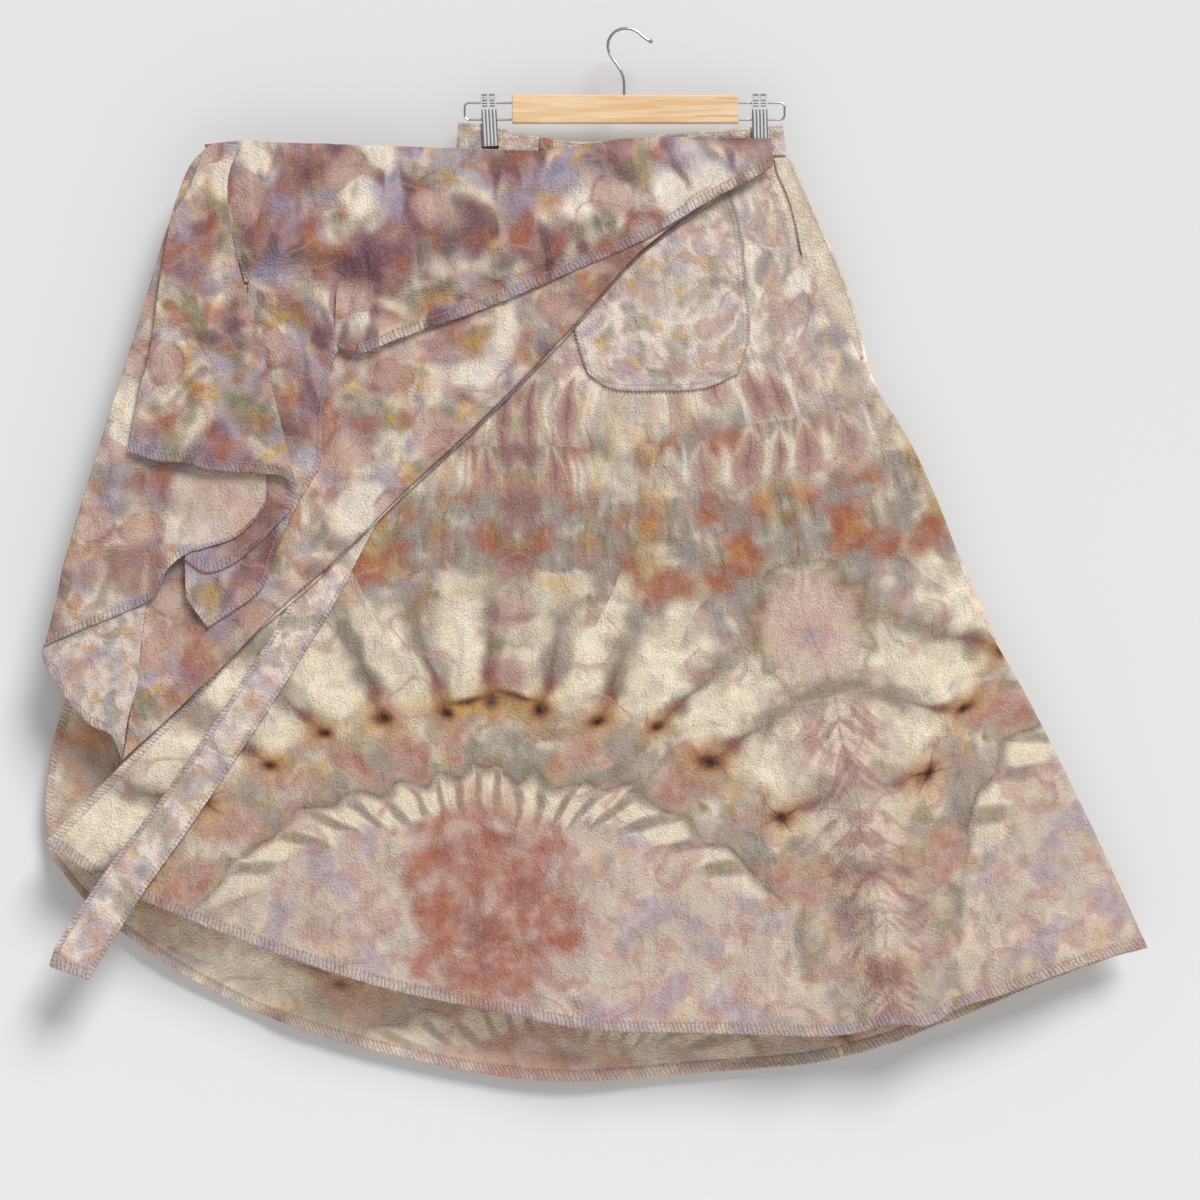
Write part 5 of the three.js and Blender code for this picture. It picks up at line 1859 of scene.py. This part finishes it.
@dataclass
class Skirt:
    """All the stretches of the skirt, back to front."""

    stretches: list[Stretch] = field(default_factory=list)

    def build(self) -> None:
        self._back()
        self._front()
        self._wrap()
        for stretch in self.stretches:
            stretch.declare()

    def _add(self, stretch: Stretch, *trims: Callable[[Stretch], Trim]) -> None:
        """Builds a stretch and its trims."""
        stretch.build()
        for make in trims:
            make(stretch).build()
        self.stretches.append(stretch)

    def _back(self) -> None:
        """Back panel, waistband and its tab."""
        self._add(
            Stretch(
                "cloth_back_panel", "back_panel", coons(BACK_EDGE), lambda u, v, x, d: back_y(x, d), (150, 120),
                # Painted light: the back panel's cream lift and negative shade brighten it where the front panel's
                # shadow falls on it.
                DyedCotton("dye_back_painted_light", Pattern.FAN, (-70.0, 235.0), light=0.25, warm=0.2, shade=-0.26), "cloth_dyed",
                (1.20, 1.0), 0.78, ("waistband_cloth",)),
            partial(Hem, side=Side.BOTTOM),
            partial(Hem, side=Side.LEFT, start=0.3, end=1.0, width=10.0),
            partial(Stitches, side=Side.BOTTOM),
        )
        self._add(
            Stretch(
                "waistband_cloth", "waistband", coons(WAIST_EDGE), waist_y, (150, 18),
                DyedCotton("dye_waist", Pattern.PALE, (40.0, 0.0)), "cloth_dyed",
                (0.36, 0.04), 0.0125, ("clip_left_back_jaw", "clip_right_back_jaw")),
            partial(Stitches, side=Side.TOP, inset=2.4, rise=0.55),
            partial(Stitches, side=Side.LEFT, inset=3.0, rise=0.55),
        )
        self._add(
            Stretch(
                "waist_tab_cloth", "waist_tab", lambda u, v: np.stack([-92 + 14 * u, 113 + 2 * u + 13 * v], -1),
                lambda u, v, x, d: np.full_like(x, -1.9), (10, 10),
                DyedCotton("dye_tab", Pattern.CLOUDS, (300.0, 90.0)), "cloth_dyed",
                (0.014, 0.013), 0.00018, ("waistband_cloth",)),
            *(partial(Stitches, side=side, inset=1.6, rise=0.55) for side in (Side.LEFT, Side.RIGHT)),
        )

    def _front(self) -> None:
        """Front panel, side strip, pocket and tie."""
        fan = DyedCotton("dye_front", Pattern.FAN)
        overlock = Thread("thread_overlock", srgb(186, 160, 152))
        self._add(
            Stretch(
                "cloth_front_panel", "front_panel", coons(FRONT_EDGE), lambda u, v, x, d: front_y(x, d), (190, 150),
                fan, "cloth_dyed", (1.16, 0.93), 0.66, ("waistband_cloth",)),
            partial(Hem, side=Side.BOTTOM),
            partial(Hem, side=Side.LEFT, start=0.4, end=1.0, width=9.0),
            partial(Stitches, side=Side.BOTTOM),
            partial(Stitches, side=Side.LEFT, start=0.4, end=1.0, inset=7.2),
        )
        self._add(
            Stretch(
                "cloth_side_strip", "side_strip", coons(STRIP_EDGE), strip_y, (16, 90),
                DyedCotton("dye_strip", Pattern.PALE, (90.0, 30.0), light=0.6), "cloth_dyed",
                (0.032, 0.235), 0.0055, ("waistband_cloth",)),
            partial(Stitches, side=Side.RIGHT, inset=3.0, rise=0.55),
        )
        self._add(
            Stretch(
                "cloth_pocket", "patch_pocket", coons(POCKET_EDGE), pocket_y, (110, 120),
                DyedCotton("dye_pocket", Pattern.PALE, (260.0, 120.0)), "cloth_dyed",
                (0.185, 0.22), 0.031, ("cloth_front_panel",)),
            *(partial(Stitches, side=side, label="overlock", inset=0.4, length=2.6, pitch=2.0, lean=2.1,
                      rise=0.6, gauge=0.5, thread=overlock) for side in (Side.LEFT, Side.BOTTOM, Side.RIGHT)),
            *(partial(Stitches, side=side, inset=6.5, rise=0.5, thread=overlock)
              for side in (Side.RIGHT, Side.LEFT, Side.BOTTOM)),
        )
        self._add(
            Stretch(
                "cloth_tie", "tie_strap", coons(TIE_EDGE), tie_y, (20, 220),
                DyedCotton("dye_tie", Pattern.PALE, (-220.0, 60.0)), "cloth_dyed",
                (0.043, 0.62), 0.025, ("cloth_front_panel",)),
            partial(Hem, side=Side.LEFT, start=0.15, end=1.0, width=5.0, pucker=0.5),
            partial(Hem, side=Side.RIGHT, start=0.15, end=1.0, width=4.0, pucker=0.3),
            partial(Hem, side=Side.BOTTOM, width=12.0, pucker=0.25),
            partial(Stitches, side=Side.LEFT, start=0.15, end=1.0, inset=4.0),
            partial(Stitches, side=Side.BOTTOM, inset=10.5),
        )

    def _wrap(self) -> None:
        """The overlapping end of the wrap."""
        self._add(
            Stretch(
                "cloth_inner_leg", "wrap_inner_leg", coons(LEG_EDGE), leg_y, (90, 90),
                DyedCotton("dye_leg", Pattern.CLOUDS, (120.0, 0.0), shade=0.06), "cloth_inner",
                (0.56, 0.52), 0.105, ("waistband_cloth",)),
        )
        self._add(
            Stretch(
                "cloth_wrap_body", "wrap_body", coons(BODY_EDGE), body_y, (150, 150),
                DyedCotton("dye_body", Pattern.CLOUDS, (0.0, -40.0), 38.0, plum=0.3, light=0.05, warm=0.18),
                "cloth_dyed", (0.66, 0.66), 0.172, ("cloth_inner_leg",), gathered=True),
        )
        self._add(
            Stretch(
                "cloth_turned_face", "wrap_turned_face", coons(TURNED_EDGE), turned_y, (60, 70),
                DyedCotton("dye_turned", Pattern.PALE, (-300.0, 200.0), shade=0.08), "cloth_inner",
                (0.13, 0.18), 0.011, ("cloth_wrap_body",)),
            partial(Hem, side=Side.BOTTOM, width=10.0),
            partial(Stitches, side=Side.BOTTOM, inset=8.5),
        )
        self._add(
            Stretch(
                "cloth_left_fall", "wrap_left_fall", coons(LEFT_EDGE), left_y, (90, 170),
                DyedCotton("dye_left", Pattern.CLOUDS, (210.0, 60.0), 20.0, plum=0.4, light=0.06,
                           pale=(-424.0, -496.0, 54.0)),
                "cloth_dyed", (0.24, 0.54), 0.061, ("cloth_turned_face",)),
            partial(Hem, side=Side.BOTTOM, start=0.0, end=0.62, width=10.0),
            partial(Stitches, side=Side.BOTTOM, start=0.0, end=0.62, inset=8.5),
            partial(Hem, side=Side.BOTTOM, start=0.63, end=1.0, width=3.6, pucker=0.3, label="rim"),
        )
        self._add(
            Stretch(
                "cloth_upper_drape", "wrap_upper_drape", ruled(DRAPE_SECTIONS), drape_y, (280, 90),
                DyedCotton("dye_drape", Pattern.CLOUDS, (-120.0, 260.0), -8.0, plum=1.0), "cloth_dyed",
                (0.60, 0.23), 0.083, ("clip_right_front_jaw",)),
            partial(Hem, side=Side.BOTTOM, start=7 / 14, end=1.0, width=11.0, pucker=0.5),
            partial(Stitches, side=Side.BOTTOM, start=7 / 14, end=1.0, inset=9.4),
            partial(Stitches, side=Side.RIGHT, inset=8.0, rise=0.6),
        )
        self._add(
            Stretch(
                "cloth_inner_curl", "wrap_inner_curl", coons(CURL_EDGE), curl_y, (50, 50),
                DyedCotton("dye_curl", Pattern.CLOUDS, (-40.0, -220.0), plum=0.6, shade=0.05), "cloth_inner",
                (0.12, 0.115), 0.0092, ("cloth_front_fall",)),
            partial(Hem, side=Side.BOTTOM, width=13.0, pucker=0.35),
            partial(Hem, side=Side.RIGHT, width=9.0, pucker=0.35),
            partial(Stitches, side=Side.BOTTOM, inset=11.0),
        )
        self._add(
            Stretch(
                "cloth_front_fall", "wrap_front_fall", coons(FALL_EDGE), fall_y, (80, 170),
                DyedCotton("dye_fall", Pattern.CLOUDS, (-120.0, 260.0), -8.0, plum=1.0), "cloth_dyed",
                (0.19, 0.38), 0.038, ("cloth_left_fall",)),
            partial(Hem, side=Side.RIGHT, start=0.2, end=1.0, width=5.0, pucker=0.3),
            partial(Stitches, side=Side.RIGHT, start=0.2, end=1.0, inset=3.8),
            partial(Hem, side=Side.BOTTOM, width=6.0, pucker=0.3),
        )
        self._add(
            Stretch(
                "cloth_corner_flap", "wrap_corner_flap", coons(FLAP_EDGE), flap_y, (100, 150),
                DyedCotton("dye_flap", Pattern.CLOUDS, (330.0, -160.0), 55.0, plum=0.5), "cloth_dyed",
                (0.18, 0.37), 0.034, ("cloth_upper_drape",)),
            partial(Hem, side=Side.BOTTOM, width=11.0),
            partial(Stitches, side=Side.BOTTOM, inset=9.4),
        )


@dataclass
class Hanger:
    """The hanger: CAD pieces kept with their finishes, plus the clips' rubber lips.

    Attributes:
        lip: Size of a lip across, in depth and downwards.
        lip_drop: Drop of the lips.
        lip_round: Rounding of their edges.
    """

    lip: Vec3 = (17.2, 3.0, 2.6)
    lip_drop: float = 124.0
    lip_round: float = 0.5

    def build(self, nodes: dict[str, Piece]) -> None:
        """Finishes the CAD nodes and adds the lips.

        Args:
            nodes: The frame's CAD nodes by name.
        """
        finishes = {
            "hanger_bar": (Pine().material(), "wood_pine"),
            "hanger_hook": (Steel("steel_hook", srgb(176, 178, 180), 0.24).material(), "steel_wire"),
            "hanger_wire": (Steel("steel_loop", srgb(180, 182, 184), 0.24).material(), "steel_wire"),
        }
        saddle = Steel("steel_saddle", srgb(206, 208, 210), 0.34).material()
        for side, ribs in (("left", (-146.4, -0.055)), ("right", (139.4, -0.02))):
            jaw = Steel(f"steel_jaw_{side}", srgb(238, 239, 240), 0.3, 0.45, ribs).material()
            finishes[f"clip_{side}_front_jaw"] = (jaw, "steel_clip")
            finishes[f"clip_{side}_back_jaw"] = (jaw, "steel_clip")
            finishes[f"clip_{side}_saddle"] = (saddle, "steel_clip")
        for name, (material, slot) in finishes.items():
            node = nodes[name]
            node.data.materials.clear()
            node.data.materials.append(material)
            LOG.info("%s: finished as %s", name, material.name)
        rubber = Plain("rubber", srgb(46, 46, 50), 0.7).material()
        for side, x, lean in (("left", -143.3, -0.055), ("right", 140.6, -0.02)):
            for face, y in (("front", -2.7), ("back", 2.7)):
                self._pad(f"clip_{side}_{face}_lip", x, y, lean, rubber)

    def _pad(self, name: str, x: float, y: float, lean: float, material: Material) -> None:
        """One rubber lip at the foot of a jaw.

        Args:
            name: Piece name.
            x: Middle across in millimetres.
            y: Middle in depth in millimetres.
            lean: Lean of the clip in radians.
            material: Its finish.
        """
        bpy.ops.mesh.primitive_cube_add(size=1, location=(x * MM, y * MM, -self.lip_drop * MM))
        made = bpy.context.active_object
        made.name = name
        made.scale = [side * MM for side in self.lip]
        made.rotation_euler = (0, lean, 0)
        bpy.ops.object.transform_apply(location=True, rotation=True, scale=True)
        bevel = made.modifiers.new("Bevel", "BEVEL")
        bevel.width = self.lip_round * MM
        bevel.segments = 2
        bpy.ops.object.modifier_apply(modifier=bevel.name)
        made.data.materials.append(material)
        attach(made, "root")
        LOG.info("%s: rubber lip", name)


@dataclass
class Studio:
    """Wall, floor, lights and camera.

    Attributes:
        centre: What the camera looks at, x and z.
        width: Width of the picture at the skirt.
        distance: From the camera to the skirt.
        wall_y: Where the wall stands behind the skirt.
        sun_energy: Strength of the key light.
        sun_angle: How soft it is, in degrees.
        sun_way: Where it shines.
        room_colour: Colour of the light from all round.
        room_light: Its strength.
    """

    centre: tuple[float, float] = (-28.4, -600.6)
    width: float = 1260.0
    distance: float = 3600.0
    wall_y: float = 42.0
    sun_energy: float = 2.65
    sun_angle: float = 24.0
    sun_way: Vec3 = (-0.36, 0.63, -0.69)
    room_colour: Colour = (0.86, 0.87, 0.89, 1.0)
    room_light: float = 0.42

    def build(self) -> None:
        """Makes the stage and the camera."""
        pale = srgb(228, 228, 228)
        wall = self._plane("wall", (0, self.wall_y * MM, -0.2), (9, 5.2), (math.pi / 2, 0, 0),
                           Plain("wall_paint", pale, one_sided=True))
        floor = self._plane("floor", (0, -2.0, -1.62), (9, 7), (0, 0, 0), Plain("floor_paint", pale))
        sun = bpy.data.objects.new("key", bpy.data.lights.new("key", "SUN"))
        sun.data.energy = self.sun_energy
        sun.data.angle = math.radians(self.sun_angle)
        sun.rotation_mode = "QUATERNION"
        sun.rotation_quaternion = Vector(self.sun_way).to_track_quat("-Z", "Y")
        bpy.context.scene.collection.objects.link(sun)
        world = bpy.data.worlds.new("studio")
        world.use_nodes = True
        room = world.node_tree.nodes["Background"].inputs
        room[0].default_value, room[1].default_value = self.room_colour, self.room_light
        bpy.context.scene.world = world
        cam = bpy.data.objects.new("camera", bpy.data.cameras.new("camera"))
        cam.data.sensor_width = 36.0
        cam.data.lens = 36.0 * self.distance / self.width
        cam.data.clip_end = 60
        cam.location = (self.centre[0] * MM, -self.distance * MM - 0.012, self.centre[1] * MM)
        cam.rotation_euler = (math.pi / 2, 0, 0)
        bpy.context.scene.collection.objects.link(cam)
        bpy.context.scene.camera = cam
        bpy.context.scene.view_settings.view_transform = "Standard"
        bpy.context.scene.view_settings.look = "None"

    def _plane(
        self, name: str, at: Vec3, size: tuple[float, float],
        turn: Vec3, finish: Plain,
    ) -> Piece:
        """A flat stage piece.

        Args:
            name: Object name.
            at: Its middle, metres.
            size: Width and height, metres.
            turn: Rotation in radians.
            finish: Its finish.

        Returns:
            The object.
        """
        bpy.ops.mesh.primitive_plane_add(size=1, location=at, rotation=turn)
        made = bpy.context.active_object
        made.name = name
        made.scale = (size[0], size[1], 1)
        made.data.materials.append(finish.material())
        return made


def main() -> None:
    """Builds everything in order."""
    logging.basicConfig(level=logging.INFO, format="%(name)s: %(message)s")
    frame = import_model()
    Hanger().build(frame["nodes"])
    Skirt().build()
    Studio().build()


if __name__ == "__main__":
    main()
